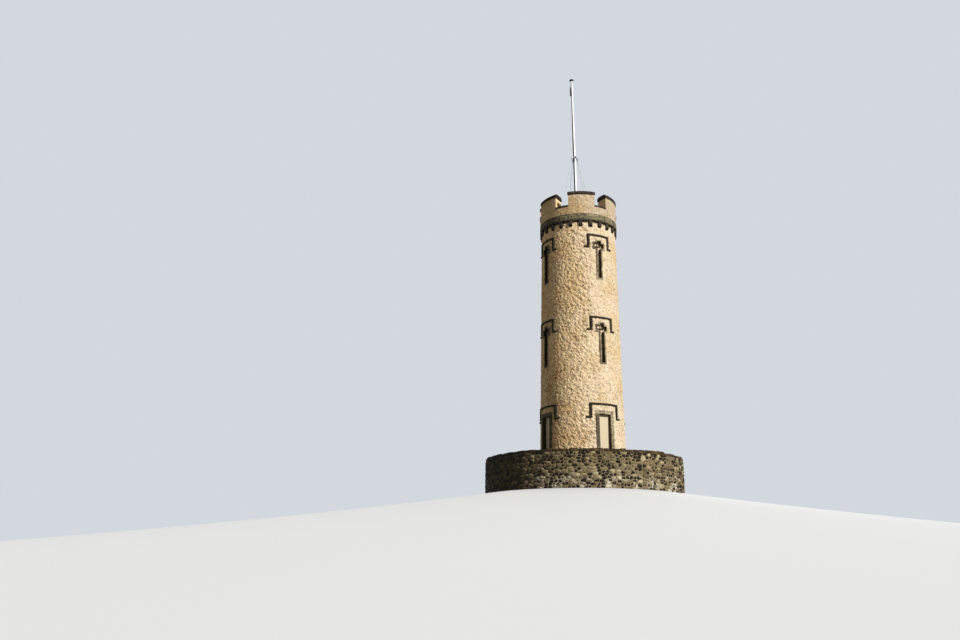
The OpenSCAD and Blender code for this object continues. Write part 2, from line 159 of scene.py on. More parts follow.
# The side that faces away from the sun, towards the left and back, where colours are darkened as painted
# shade.
SHADED_SIDE = (-0.88, 0.47, 0.0)

# The side of the flagpole turned from the light, down which a dark stripe of painted shade runs.
SHADE_STRIPE_SIDE = (-0.998, -0.052, 0.0)

# The photograph's camera: its place round the tower, its distance and height, how it is turned, its lens.
CAMERA_ROUND = math.radians(-32.0)
CAMERA_DISTANCE = 46.356
CAMERA_HEIGHT = -3.757
CAMERA_YAW = math.radians(6.708)
CAMERA_PITCH = math.radians(15.925)
CAMERA_ROLL = math.radians(0.597)
CAMERA_LENS = 33.18
CAMERA_SENSOR = 36.0

# Colours that the terrace's stones and mortar share, and the soft edge of a pattern.
LIMEWASH = "#E4DAC4"
# near-black of the painted shade laid on the terrace's stones and mortar on the side away from the light
SHADE_DARK = "#1B1910"
SMOOTH = {"interpolation_type": "SMOOTHSTEP"}


def linear(code):
    """An sRGB hex colour as linear red, green, blue and alpha."""
    parts = [int(code[k : k + 2], 16) / 255 for k in (1, 3, 5)]
    return tuple(c / 12.92 if c <= 0.04045 else ((c + 0.055) / 1.055) ** 2.4 for c in parts) + (1.0,)


def colour(name, description, code):
    """A colour that a user may change, with its default as an sRGB hex value."""
    return FloatVectorProperty(
        name=name, description=description, default=linear(code), size=4, min=0.0, max=1.0, subtype="COLOR"
    )


def length(name, description, default, low, high):
    """A length that a user may change, in metres."""
    return FloatProperty(
        name=name, description=description, default=default, min=low, max=high, unit="LENGTH"
    )


def strength(name, description, default):
    """The strength of a light that a user may change."""
    return FloatProperty(name=name, description=description, default=default, min=0.0)


def shaft_radius(z):
    """The radius of the shaft's battered face at a height."""
    return SHAFT_RADIUS_LOW - SHAFT_TAPER * (z - TERRACE_TOP)


class TowerHarling(PropertyGroup):
    """Lime harling thrown over the rubble of the shaft and the battlement."""

    lump: length("Lump", "Width of the rubble stones that swell under the harling", 0.24, 0.1, 0.6)
    relief: length("Relief", "Depth of the hollows between those stones", 0.03, 0.0, 0.04)
    mesh_step: length("Mesh step", "Width of the mesh that the harling is modelled with", 0.044, 0.03, 0.2)
    cream: colour("Cream", "Harling where it is clean", "#F4E0BE")
    ochre: colour("Ochre", "Harling where damp has stained it", "#DDB67A")
    # the hollow colour is dirt and painted shade in the coat's low points
    hollow: colour("Hollow", "Dirt and shadowed grit in the hollows", "#93692F")
    streak: colour("Streak", "Grey-green run-off below stone ledges", "#8F8460")
    panel: colour("Panel", "Smooth render of the blind door panels", "#CCBC9D")


class TowerStonework(PropertyGroup):
    """Dressed and rubble stone."""

    rubble_stone: length("Rubble stone", "Usual length of a stone of the terrace wall", 0.25, 0.15, 0.6)
    rubble_joint: length("Rubble joint", "Width of the mortar between rubble stones", 0.048, 0.005, 0.08)
    dressed_joint: length("Dressed joint", "Width of the joints between dressed stones", 0.007, 0.002, 0.02)
    arris: length("Worn edge", "Width of the worn edge of a dressed stone", 0.009, 0.002, 0.03)
    # the darkest stones are partly dark whinstone and partly painted shade of the deep hollows between stones
    rubble_dark_and_gap_shade: colour("Dark rubble", "Whinstone and lichened stones", "#1B140D")
    rubble_mid: colour("Brown rubble", "The wall's usual stones", "#776749")
    rubble_pale: colour("Pale rubble", "Sandstone among the rubble", "#BBA983")
    mortar: colour("Mortar", "Lime mortar of the terrace wall", "#8E7E5B")
    trim: colour("Trim", "Dark weathered stone of hoods, corbels and copings", "#2F261B")
    trim_pale: colour("Pale trim", "Lichen and rubbed faces of the trim", "#7A705E")
    surround: colour("Surround", "Buff stone round the openings", "#AC9C7E")
    surround_dark: colour("Dark surround", "Sooty patches of the surrounds", "#74674F")
    band: colour("Band", "Olive-grey stone of the band", "#85795C")
    band_dark: colour("Dark band", "Black spots and damp of the band", "#3F392B")
    flags: colour("Flags", "Paving flags of the terrace", "#8B8475")


class TowerStage(PropertyGroup):
    """Floor, light and background."""

    floor: colour("Floor", "Plain pale floor", "#DEDEDC")
    backdrop: colour("Backdrop", "Plain pale background", "#D3D8DE")
    key: strength("Key", "Strength of the soft lamp from the right", 4.35)
    fill: strength("Fill", "Strength of the soft lamp from behind", 0.9)
    sky: strength("Sky", "Strength of the even light from all round", 0.22)


def add(tree, kind, inputs=None, **settings):
    """Adds a shader node with its settings, and inputs given as values, colour codes, sockets or nodes."""
    made = tree.nodes.new("ShaderNode" + kind)
    for name, value in settings.items():
        setattr(made, name, value)
    for socket, value in (inputs or {}).items():
        if isinstance(value, bpy.types.Node):
            value = value.outputs[0]
        if isinstance(value, bpy.types.NodeSocket):
            tree.links.new(value, made.inputs[socket])
        else:
            made.inputs[socket].default_value = linear(value) if isinstance(value, str) else value
    return made


def per(size_mm):
    """Scale of a pattern on coordinates in metres, from its real size in millimetres."""
    return 1000.0 / size_mm


def empty_tree(holder):
    """The node tree of a new material or world, with nothing in it."""
    holder.use_nodes = True
    holder.node_tree.nodes.clear()
    return holder.node_tree


def begin(name, roughness, metallic=0.0):
    """A new material's tree and surface, and where on the object a point of it is."""
    tree = empty_tree(bpy.data.materials.new(name))
    shine = 0.2 if roughness > 0.7 else 0.5
    look = {"Roughness": roughness, "Metallic": metallic, "Specular IOR Level": shine}
    surface = add(tree, "BsdfPrincipled", look)
    add(tree, "OutputMaterial", {"Surface": surface})
    return tree, surface, add(tree, "TexCoord").outputs["Object"]


def mottle(tree, place, size_mm, low, high, detail=3.0, stretch=None):
    """Patches of a real size, from 0 where the noise is under low to 1 where it is over high."""
    if stretch:
        place = add(tree, "Mapping", {"Vector": place, "Scale": stretch})
    grain = add(tree, "TexNoise", {"Vector": place, "Scale": per(size_mm), "Detail": detail})
    return add(tree, "MapRange", {0: grain, 1: low, 2: high}, **SMOOTH)


def times(tree, pattern, *others):
    """Patterns multiplied together, so that each holds the others back."""
    for other in others:
        pattern = add(tree, "Math", {0: pattern, 1: other}, operation="MULTIPLY")
    return pattern


def stain(tree, base, layers, kind="MIX"):
    """Lays colours over a base, each by its pattern from 0 to 1 and the share of it that shows."""
    for pattern, share, over in layers:
        if share < 1:
            pattern = times(tree, pattern, share)
        base = add(tree, "Mix", {0: pattern, 6: base, 7: over}, data_type="RGBA", blend_type=kind).outputs[2]
    return base


def dress(tree, surface, place, base, bumps):
    """Gives a surface its colour, and bumps of real heights in metres, laid one over the other.

    The pattern of a bump goes from 0 to 1, or is given as the size in millimetres and the detail of a grain.
    """
    tree.links.new(base, surface.inputs["Base Color"])
    below = {}
    for pattern, height in bumps:
        if isinstance(pattern, tuple):
            size_mm, detail = pattern
            pattern = add(tree, "TexNoise", {"Vector": place, "Scale": per(size_mm), "Detail": detail})
        bump = add(tree, "Bump", {"Height": pattern, "Distance": height, "Strength": 1.0, **below})
        below = {"Normal": bump}
    tree.links.new(bump.outputs[0], surface.inputs["Normal"])


def harling(name):
    """Lime harling thrown wet on rubble: dull cream, gritty, lumpy, ochre where damp, with dirt and painted
    shade in its hollows and painted shade on the side turned from the light.
    """
    care = bpy.context.scene.tower_harling
    tree, surface, place = begin(name, 0.93)
    hollow = add(tree, "Attribute", attribute_name="hollow").outputs["Fac"]
    sooty = add(tree, "Attribute", attribute_name="sooty").outputs["Fac"]
    height = add(tree, "SeparateXYZ", {"Vector": place}).outputs["Z"]
    # the coat is thinner towards the battlement and smoother on the lit side; as painted shade and light, the
    # shaded side is tinted warm and the lit side greyed a little
    thinner = add(tree, "MapRange", {0: height, 1: BAND_FOOT - 1.4, 2: BAND_TOP, 3: 1.0, 4: 0.3}, **SMOOTH)
    in_shade = away_from_light(tree, place, -0.6)
    lit_side = add(tree, "MapRange", {0: in_shade, 1: 0.3, 2: 0.0}, **SMOOTH)
    smoother = add(tree, "MapRange", {0: lit_side, 3: 1.0, 4: 0.45})
    thick = add(tree, "MapRange", {0: mottle(tree, place, 1500, 0.35, 0.65, 2.0), 3: 0.65, 4: 1.25})
    thick = times(tree, thick, thinner, smoother)
    damp = mottle(tree, place, 1100, 0.42, 0.72, 4.0)
    splash = mottle(tree, place, 130, 0.35, 0.75, 4.0)
    run = mottle(tree, place, 160, 0.56, 0.76, 3.0, (1.0, 1.0, 0.12))
    lumps = add(tree, "TexNoise", {"Vector": place, "Scale": per(160), "Detail": 4.0})
    dips = add(tree, "MapRange", {0: lumps, 1: 0.46, 2: 0.36}, **SMOOTH)
    base = stain(tree, care.cream, [
        (damp, 0.5, care.ochre),
        (splash, 0.25, care.ochre),
        (run, 0.25, care.streak),
        # the hollows of the coat are darkened: dirt, and painted shade where the lumps would shade them
        (hollow, 0.5, care.hollow),
        (times(tree, dips, thick), 0.5, care.hollow),
    ])
    # painted shade and light: the side away from the lamp is tinted warm, the lit side greyed
    base = stain(tree, base, [(in_shade, 1, "#FBEED6"), (lit_side, 1, "#EDEDEE")], "MULTIPLY")
    # painted shadow just under the band, and an even sooting of the battlement's coat
    base = stain(tree, base, [(sooty, 1, "#3A2F22")])
    # grit is 3 to 8 mm in the real coat; the finest layer is drawn at 14 mm so that it shows
    dress(tree, surface, place, base, [(lumps, times(tree, thick, 0.26)), ((14, 2.0), 0.004)])


def smooth_render(name):
    """Lime render floated smooth and limewashed: pale and matt, with faint runs down its face."""
    care = bpy.context.scene.tower_harling
    tree, surface, place = begin(name, 0.85)
    run = mottle(tree, place, 90, 0.45, 0.75, 3.0, (1.0, 1.0, 0.06))
    cloud = mottle(tree, place, 420, 0.4, 0.75)
    base = stain(tree, care.panel, [(run, 0.35, "#CDBE9C"), (cloud, 0.25, "#D5C8AC")])
    # the marks of the float are about 60 mm across
    dress(tree, surface, place, base, [((60, 2.0), 0.002)])


def away_from_light(tree, place, start=0.15):
    """1 on the side of the tower turned from the light, where painted shade darkens the colour, and 0 round
    from it.
    """
    towards = add(tree, "VectorMath", {0: place, 1: SHADED_SIDE}, operation="DOT_PRODUCT").outputs["Value"]
    level = add(tree, "VectorMath", {0: place, 1: (1.0, 1.0, 0.0)}, operation="MULTIPLY")
    reach = add(tree, "VectorMath", {0: level}, operation="LENGTH").outputs["Value"]
    share = add(tree, "Math", {0: towards, 1: reach}, operation="DIVIDE")
    return add(tree, "MapRange", {0: share, 1: start, 2: 0.85}, **SMOOTH)


def stone(name, body, dark, pale, sizes_mm, pit_depth, spread=0.35, damp=0.55):
    """Weathered stone, each block lighter or darker than the next by the spread.

    The sizes are those of its stained patches, lichen spots and pits. Damp is the share of painted shade that
    darkens it on the side away from the light.
    """
    tree, surface, place = begin(name, 0.9)
    patch_mm, spot_mm, pit_mm = sizes_mm
    tone = add(tree, "Attribute", attribute_name="tone").outputs["Fac"]
    sooty = add(tree, "Attribute", attribute_name="sooty").outputs["Fac"]
    patch = mottle(tree, place, patch_mm, 0.38, 0.66, 4.0)
    spots = mottle(tree, place, spot_mm, 0.56, 0.68)
    value = add(tree, "MapRange", {0: tone, 3: 1.0 - spread, 4: 1.0 + spread}, clamp=False)
    base = stain(tree, body, [(patch, 1, dark), (spots, 0.75, pale)])
    base = add(tree, "HueSaturation", {"Color": base, "Value": value}).outputs[0]
    # painted shade: the shade-and-soot layer, dark under ledges and in reveals, and a darkening on the side
    # away from the light
    base = stain(tree, base, [(sooty, 1, "#1C1610"), (away_from_light(tree, place), damp, "#1F1C14")])
    worn = (pit_mm * 5, 3.0)
    dress(tree, surface, place, base, [(worn, pit_depth * 2.5), ((pit_mm, 3.0), pit_depth)])


def trim_stone(name):
    """Sandstone mouldings black with soot and algae, with grey lichen on the rubbed edges."""
    care = bpy.context.scene.tower_stonework
    stone(name, care.trim, "#221C15", care.trim_pale, sizes_mm=(240, 45, 18), pit_depth=0.003)


def surround_stone(name):
    """Buff sandstone round the openings, patched with soot and rubbed pale in places."""
    care = bpy.context.scene.tower_stonework
    stone(name, care.surround, care.surround_dark, "#B3A284", sizes_mm=(150, 70, 16), pit_depth=0.002)


def reveal_shade_stone(name):
    """Sandstone inside the openings and in the surrounds' joints, drawn nearly black as painted shade of the
    deep reveals.
    """
    stone(name, "#2B241B", "#17120D", "#4A3F30", sizes_mm=(200, 40, 16), pit_depth=0.002, spread=0.0)


def band_stone(name):
    """Olive-grey sandstone of the band, spotted black where water hangs."""
    care = bpy.context.scene.tower_stonework
    stone(name, care.band, care.band_dark, "#A79A78", sizes_mm=(110, 60, 16), pit_depth=0.003, spread=0.25)


def limewash(tree, place):
    """1 where old limewash has run down over the foot of the terrace wall."""
    height = add(tree, "SeparateXYZ", {"Vector": place}).outputs["Z"]
    low = add(tree, "MapRange", {0: height, 1: 1.05, 2: 0.10}, **SMOOTH)
    return times(tree, low, mottle(tree, place, 700, 0.42, 0.60, 4.0), mottle(tree, place, 130, 0.44, 0.56))


def rubble_stone(name):
    """Field stones of many kinds: dark whinstone, brown and pale sandstone, each with tone and lichen."""
    care = bpy.context.scene.tower_stonework
    tree, surface, place = begin(name, 0.88)
    tone = add(tree, "Attribute", attribute_name="tone").outputs["Fac"]
    sandstone = add(tree, "MapRange", {0: tone, 1: 0.3, 2: 0.42})
    paler = add(tree, "MapRange", {0: tone, 1: 0.72, 2: 1.0})
    # the darkest tone stands for dark stones and for painted shade in the gaps between stones
    base = stain(tree, care.rubble_dark_and_gap_shade, [
        (sandstone, 1, care.rubble_mid),
        (paler, 1, care.rubble_pale),
        (mottle(tree, place, 90, 0.4, 0.7, 4.0), 0.4, "#2E2820"),
        (times(tree, mottle(tree, place, 38, 0.60, 0.70), sandstone), 0.7, "#B5AD95"),
        (times(tree, limewash(tree, place), sandstone), 0.7, LIMEWASH),
        # painted shade: near-black on the side away from the light
        (away_from_light(tree, place), 0.78, SHADE_DARK),
    ])
    dress(tree, surface, place, base, [((60, 4.0), 0.022), ((16, 2.0), 0.004)])


def lime_mortar(name):
    """Lime mortar smeared between rubble: pale, sandy, dull, whiter near the ground, olive with age above."""
    care = bpy.context.scene.tower_stonework
    tree, surface, place = begin(name, 0.95)
    base = stain(tree, care.mortar, [
        (mottle(tree, place, 420, 0.38, 0.70, 4.0), 0.5, "#7C6E4F"),
        (mottle(tree, place, 80, 0.42, 0.68), 0.45, "#5D523B"),
        (limewash(tree, place), 0.7, LIMEWASH),
        # painted shade: near-black on the side away from the light
        (away_from_light(tree, place), 0.78, SHADE_DARK),
    ])
    dress(tree, surface, place, base, [((90, 3.0), 0.03), ((24, 3.0), 0.005)])


def coping_rubble(name):
    """Rough copings on the terrace wall: near-black with algae and moss, grey where lichen grows, and
    darkened further by painted shade on the side away from the light.
    """
    sizes = (170, 55, 24)
    stone(name, "#4B3923", "#241A10", "#81714F", sizes, pit_depth=0.006, spread=0.45, damp=0.96)


def merlon_coping_stone(name):
    """Grey-brown coping stones of the battlement: pale on the face; the black along their edges is painted
    shade laid on by each course.
    """
    stone(name, "#494034", "#251F18", "#7E7563", sizes_mm=(160, 50, 18), pit_depth=0.003, spread=0.3)


def paving_flag(name):
    """Worn sandstone flags, grey-buff, with dark damp patches and moss near the joints."""
    care = bpy.context.scene.tower_stonework
    stone(name, care.flags, "#5F5A4A", "#A8A08D", sizes_mm=(380, 90, 26), pit_depth=0.002, spread=0.22)


def sawn_pine(name):
    """Sawn pine, dry and brown: grain lines about 6 mm apart along the board, rough from the saw."""
    tree, surface, place = begin(name, 0.75)
    along = (0.05, 1.0, 1.0)
    grain = mottle(tree, place, 6, 0.35, 0.7, 3.0, along)
    board = mottle(tree, place, 260, 0.4, 0.6, 1.0, along)
    base = stain(tree, "#9A7A52", [(grain, 1, "#6F5436"), (board, 0.5, "#B08F63")])
    dress(tree, surface, place, base, [(grain, 0.001)])


def roof_felt(name):
    """Grey mineral felt in rolls a metre wide: granular, with lapped seams and dust in the hollows."""
    tree, surface, place = begin(name, 0.92)
    across = add(tree, "SeparateXYZ", {"Vector": place}).outputs["X"]
    # a roll shows 0.9 m of its metre, and the next one laps over the rest
    roll = add(tree, "Math", {0: across, 1: 0.9}, operation="MODULO")
    edge = add(tree, "Math", {0: roll}, operation="ABSOLUTE")
    lap = add(tree, "MapRange", {0: edge, 1: 0.07, 2: 0.09})
    dust = mottle(tree, place, 500, 0.4, 0.7, 4.0)
    grains = mottle(tree, place, 9, 0.4, 0.65, 2.0)
    base = stain(tree, "#6B6C6C", [(dust, 0.6, "#8A8578"), (grains, 0.35, "#48494A")])
    dress(tree, surface, place, base, [(lap, 0.006), (grains, 0.001)])


def gloss_paint(name):
    """White gloss paint on the pole, brushed on: bright and a little chalky, with painted shade on the side
    away from the light and a black stripe of painted shade down one side.
    """
    tree, surface, place = begin(name, 0.32)
    run = mottle(tree, place, 30, 0.5, 0.8, 3.0, (1.0, 1.0, 0.04))
    cloud = mottle(tree, place, 500, 0.4, 0.7, 2.0)
    base = stain(tree, "#E9E9E6", [(run, 0.4, "#B9BAB6"), (cloud, 0.25, "#D3D4D2")])
    facing = add(tree, "TexCoord").outputs["Normal"]
    # painted shade: a grey darkening on the side away from the light, and a black stripe on the side turned
    # from it
    for side, least, most, share, shade_colour in (
        (SHADED_SIDE, -0.2, 0.8, 0.5, "#77776E"),
        (SHADE_STRIPE_SIDE, 0.5, 0.85, 0.95, "#1E1F1B"),
    ):
        towards = add(tree, "VectorMath", {0: facing, 1: side}, operation="DOT_PRODUCT").outputs["Value"]
        shade_mask = add(tree, "MapRange", {0: towards, 1: least, 2: most}, **SMOOTH)
        base = stain(tree, base, [(shade_mask, share, shade_colour)])
    rough = add(tree, "MapRange", {0: cloud, 3: 0.28, 4: 0.45})
    tree.links.new(rough.outputs[0], surface.inputs["Roughness"])
    # the marks of the brush are 12 mm across and run up the pole
    brushed = add(tree, "Mapping", {"Vector": place, "Scale": (1.0, 1.0, 0.03)})
    dress(tree, surface, brushed, base, [((12, 2.0), 0.0004)])


def painted_iron(name):
    """Cast iron fittings under old dark paint, dull, with rust coming through."""
    tree, surface, place = begin(name, 0.6)
    rust = mottle(tree, place, 28, 0.52, 0.70, 4.0)
    base = stain(tree, "#18191B", [(rust, 1, "#38261B")])
    dress(tree, surface, place, base, [((7, 2.0), 0.0008)])


def galvanised_wire(name):
    """Galvanised wire rope and rigging screws: mid-grey zinc, dull, with white bloom and darker strands."""
    tree, surface, place = begin(name, 0.5, 0.85)
    bloom = mottle(tree, place, 60, 0.45, 0.7)
    # the strands are drawn about 60 mm apart, coarser than the real 16 mm, so that they show
    twist = {"Vector": place, "Scale": per(16) / 6.283, "Distortion": 0.6}
    lay = add(tree, "TexWave", twist, bands_direction="DIAGONAL").outputs[1]
    base = stain(tree, "#8E9193", [(bloom, 1, "#B4B6B6"), (lay, 0.35, "#5E6061")])
    dress(tree, surface, place, base, [(lay, 0.0015)])


def rammed_earth(name):
    """Earth and broken stone rammed behind the terrace wall: brown and crumbly."""
    tree, surface, place = begin(name, 1.0)
    clod = mottle(tree, place, 120, 0.4, 0.7, 5.0)
    chips = mottle(tree, place, 30, 0.6, 0.68)
    base = stain(tree, "#6A5237", [(clod, 1, "#463522"), (chips, 1, "#8C7E66")])
    dress(tree, surface, place, base, [(clod, 0.012)])


FINISHES = {
    "lime_harling": harling,
    "smooth_lime_render": smooth_render,
    "weathered_trim_sandstone": trim_stone,
    "buff_surround_sandstone": surround_stone,
    "sooty_sandstone": reveal_shade_stone,
    "olive_band_sandstone": band_stone,
    "rubble_field_stone": rubble_stone,
    "lime_mortar": lime_mortar,
    "lichened_coping_rubble": coping_rubble,
    "weathered_coping_sandstone": merlon_coping_stone,
    "worn_paving_flag": paving_flag,
    "sawn_pine": sawn_pine,
    "mineral_roof_felt": roof_felt,
    "white_gloss_paint": gloss_paint,
    "painted_cast_iron": painted_iron,
    "galvanised_wire_rope": galvanised_wire,
    "rammed_earth": rammed_earth,
}

# The finish of each solid that stays in view, by the start of its name.
SOLID_FINISHES = (
    ("terrace_wall", "lime_mortar"),
    ("terrace_coping", "lime_mortar"),
    ("terrace_fill", "rammed_earth"),
    ("tower_footing", "lime_mortar"),
    ("terrace_paving", "lime_mortar"),
    ("ground_floor", "worn_paving_flag"),
    ("ground_wall", "lime_harling"),
    ("first_wall", "lime_harling"),
    ("second_wall", "lime_harling"),
    ("parapet_wall", "lime_harling"),
    ("merlons", "lime_harling"),
    ("stone_band", "lime_mortar"),
    ("door_surrounds", "sooty_sandstone"),
    ("blind_panels", "smooth_lime_render"),
    ("first_slit_surrounds", "sooty_sandstone"),
    ("second_slit_surrounds", "sooty_sandstone"),
    ("first_floor", "sawn_pine"),
    ("second_floor", "sawn_pine"),
    ("roof_joists", "sawn_pine"),
    ("roof_deck", "mineral_roof_felt"),
    ("flagpole", "white_gloss_paint"),
    ("pole_socket", "painted_cast_iron"),
    ("pole_truck", "painted_cast_iron"),
    ("stay_collar", "white_gloss_paint"),
    ("pole_stays", "galvanised_wire_rope"),
)


def finish(name):
    """The finish by that name, made the first time it is asked for."""
    if name not in bpy.data.materials:
        FINISHES[name](name)
    return bpy.data.materials[name]


def clamp(value, low, high):
    """The value, held between low and high."""
    return max(low, min(high, value))


def about_axis(angle):
    """A turn about the tower's axis."""
    return Matrix.Rotation(angle, 3, "Z")


def round_point(angle, reach, z):
    """The point at an angle round from the front, at a reach from the axis and a height."""
    return Vector((reach * math.sin(angle), -reach * math.cos(angle), z))


def front_place(side):
    """Places a point given across an opening, into the wall from its battered face, and up, on a side."""
    turn = about_axis(side * QUARTER)

    def place(point):
        reach = shaft_radius(point.z) - point.y
        return turn @ Vector((point.x, -math.sqrt(reach * reach - point.x * point.x), point.z))

    return place


def turned_place(angle):
    """Turns a point about the tower's axis."""
    turn = about_axis(angle)
    return lambda point: turn @ point


def ring_place(radius):
    """Bends a straight course round the tower: along its face at this radius, into it, and up."""
    return lambda point: round_point(point.x / radius, radius - point.y, point.z)


def cut(bm, at, across, **how):
    """Cuts a mesh along the plane through a point."""
    every = bm.verts[:] + bm.edges[:] + bm.faces[:]
    bmesh.ops.bisect_plane(bm, geom=every, plane_co=at, plane_no=across, **how)


def bevel(bm, sharp, width, segments=1, affect="EDGES"):
    """Bevels some of a block's edges or corners."""
    bmesh.ops.bevel(
        bm, geom=sharp, offset=width, segments=segments, profile=0.5, affect=affect,
        clamp_overlap=True, material=-1,
    )


def draw_out(bm, face, along):
    """Draws a flat face out into a solid, and gives the face at its far end."""
    drawn = bmesh.ops.extrude_face_region(bm, geom=[face], use_keep_orig=True)["geom"]
    bmesh.ops.translate(bm, verts=[g for g in drawn if isinstance(g, bmesh.types.BMVert)], vec=along)
    bmesh.ops.recalc_face_normals(bm, faces=bm.faces[:])
    return next(g for g in drawn if isinstance(g, bmesh.types.BMFace))


def box(low, high):
    """A block between two corners."""
    bm = bmesh.new()
    low, high = Vector(low), Vector(high)
    middle = Matrix.Translation((low + high) / 2)
    bmesh.ops.create_cube(bm, size=1.0, matrix=middle @ Matrix.Diagonal((*(high - low), 1.0)))
    return bm


def prism(outline, along):
    """A solid drawn out of a flat outline of points."""
    bm = bmesh.new()
    draw_out(bm, bm.faces.new([bm.verts.new(p) for p in outline]), along)
    return bm


def upright_prism(outline, front, back):
    """A solid whose outline is seen from the front, as pairs of across and up."""
    return prism([(x, front, z) for x, z in outline], (0, back - front, 0))


def spun(profile, steps, closed=False):
    """A shell spun about the upright axis from radius and height pairs."""
    bm = bmesh.new()
    points = [bm.verts.new((r, 0, z)) for r, z in profile]
    edges = [bm.edges.new(pair) for pair in zip(points, points[1:] + points[:1] * closed)]
    bmesh.ops.spin(
        bm, geom=points + edges, axis=(0, 0, 1), cent=(0, 0, 0),
        steps=steps, angle=2 * math.pi, use_merge=True,
    )
    bmesh.ops.remove_doubles(bm, verts=bm.verts[:], dist=0.00005)
    bmesh.ops.recalc_face_normals(bm, faces=bm.faces[:])
    return bm


def turned(profile, steps, matrix):
    """A part turned on the lathe from radius and height pairs, set in place."""
    bm = spun(profile, steps)
    bmesh.ops.transform(bm, matrix=matrix, verts=bm.verts[:])
    return bm


def wear(bm, width, segments=1):
    """Takes the sharp edges off a block."""
    bevel(bm, [e for e in bm.edges if e.is_manifold and e.calc_face_angle(0.0) > 0.3], width, segments)


def slice_up(bm, step, axes=(0, 2)):
    """Cuts a block across at even steps, so that it can be bent and weathered."""
    for axis in axes:
        reach = [v.co[axis] for v in bm.verts]
        low, high = min(reach), max(reach)
        cuts = int((high - low) / step)
        across = Vector((0, 0, 0))
        across[axis] = 1.0
        for k in range(1, cuts + 1):
            cut(bm, across * (low + (high - low) * k / (cuts + 1)), across, dist=0.0005)


def weather(bm, depth, size, seed):
    """Moves a block's surface in and out over a real size, differently for each seed."""
    # the noise starts from the clock unless it is given a seed of its own
    noise.seed_set(1)
    shift = Vector((seed * 3.7, seed * 1.9, seed * 5.3))
    for v in bm.verts:
        v.co += noise.noise_vector(v.co / size + shift) * depth


def stretches(chance, start, end, least, most, rest):
    """Cuts a course into stones of different lengths, the last one as long as what is left."""
    while start < end - 0.01:
        long = chance.uniform(least, most)
        if end - start - long < rest:
            long = end - start
        yield start, start + long
        start += long


def depth_shade(point):
    """Painted shade that deepens into the wall, darkest in the reveals."""
    return 6.0 * point.y


def jamb_shade(face):
    """Painted shade of a jamb: a share of its face and all of its reveal."""
    return lambda point: max(face, 14.0 * (point.y + 0.03))


def as_made(point):
    """Leaves a point where it was made."""
    return point


class Course:
    """Collects the stones of one piece, bent into place."""

    def __init__(self, seed=0):
        self.bm = bmesh.new()
        self.chance = random.Random(seed)
        self.scratch = bpy.data.meshes.new("scratch")

    def lay(self, stone_bm, place, tone=None, soot=depth_shade):
        """Bends one stone into place, with a tone of its own and painted shade and sooting by where a point
        of it lies.
        """
        tones = stone_bm.verts.layers.float.new("tone")
        sooty = stone_bm.verts.layers.float.new("sooty")
        tone = self.chance.random() if tone is None else tone
        for v in stone_bm.verts:
            v[tones] = tone
            v[sooty] = clamp(soot(v.co), 0.0, 0.85)
            v.co = place(v.co)
        stone_bm.to_mesh(self.scratch)
        stone_bm.free()
        self.bm.from_mesh(self.scratch)

    def show(self, name, finish_name, slot, sharp=40.0):
        """Makes the piece out of the stones laid so far."""
        bpy.data.meshes.remove(self.scratch)
        return show(name, self.bm, finish_name, sharp)


def show(name, bm, finish_name, sharp=40.0):
    """Makes a piece of the object from a mesh, with its finish and material slot, fixed to the building."""
    mesh = bpy.data.meshes.new(name)
    bm.to_mesh(mesh)
    bm.free()
    mesh.shade_smooth()
    mesh.set_sharp_from_angle(angle=math.radians(sharp))
    mesh.materials.append(finish(finish_name))
    piece = bpy.data.objects.new(name, mesh)
    bpy.context.scene.collection.objects.link(piece)
    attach(piece, "root")
    return piece


def cut_gap(bm, angle, blocks):
    """Cuts rectangular blocks x0, x1, z0, z1, seen from one side of the tower, out of a round skin."""
    turn = about_axis(angle)
    back = turn.inverted()
    lines_x = sorted({x for block in blocks for x in block[:2]})
    lines_z = sorted({z for block in blocks for z in block[2:]})
    left, right = lines_x[0] - NEAR_GAP, lines_x[-1] + NEAR_GAP
    low, high = lines_z[0] - NEAR_GAP, lines_z[-1] + NEAR_GAP

    def near():
        """The faces near the gap, each with its middle as that side sees it."""
        for f in bm.faces:
            middle = f.calc_center_median()
            if low < middle.z < high:
                middle = back @ middle
                if middle.y < 0 and left < middle.x < right:
                    yield f, middle

    planes = [(turn @ Vector((x, 0, 0)), turn @ Vector((1, 0, 0))) for x in lines_x]
    planes += [(Vector((0, 0, z)), Vector((0, 0, 1))) for z in lines_z]
    for at, across in planes:
        faces = [f for f, _ in near()]
        parts = faces + list({part for f in faces for part in (*f.edges, *f.verts)})
        bmesh.ops.bisect_plane(bm, geom=parts, dist=0.0002, plane_co=at, plane_no=across)
    gone = [f for f, at in near() if any(x0 < at.x < x1 and z0 < at.z < z1 for x0, x1, z0, z1 in blocks)]
    bmesh.ops.delete(bm, geom=gone, context="FACES")


def set_radius(v, radius):
    """Moves a point level, out from the axis or in, to a radius."""
    v.co.xy = v.co.xy.normalized() * radius


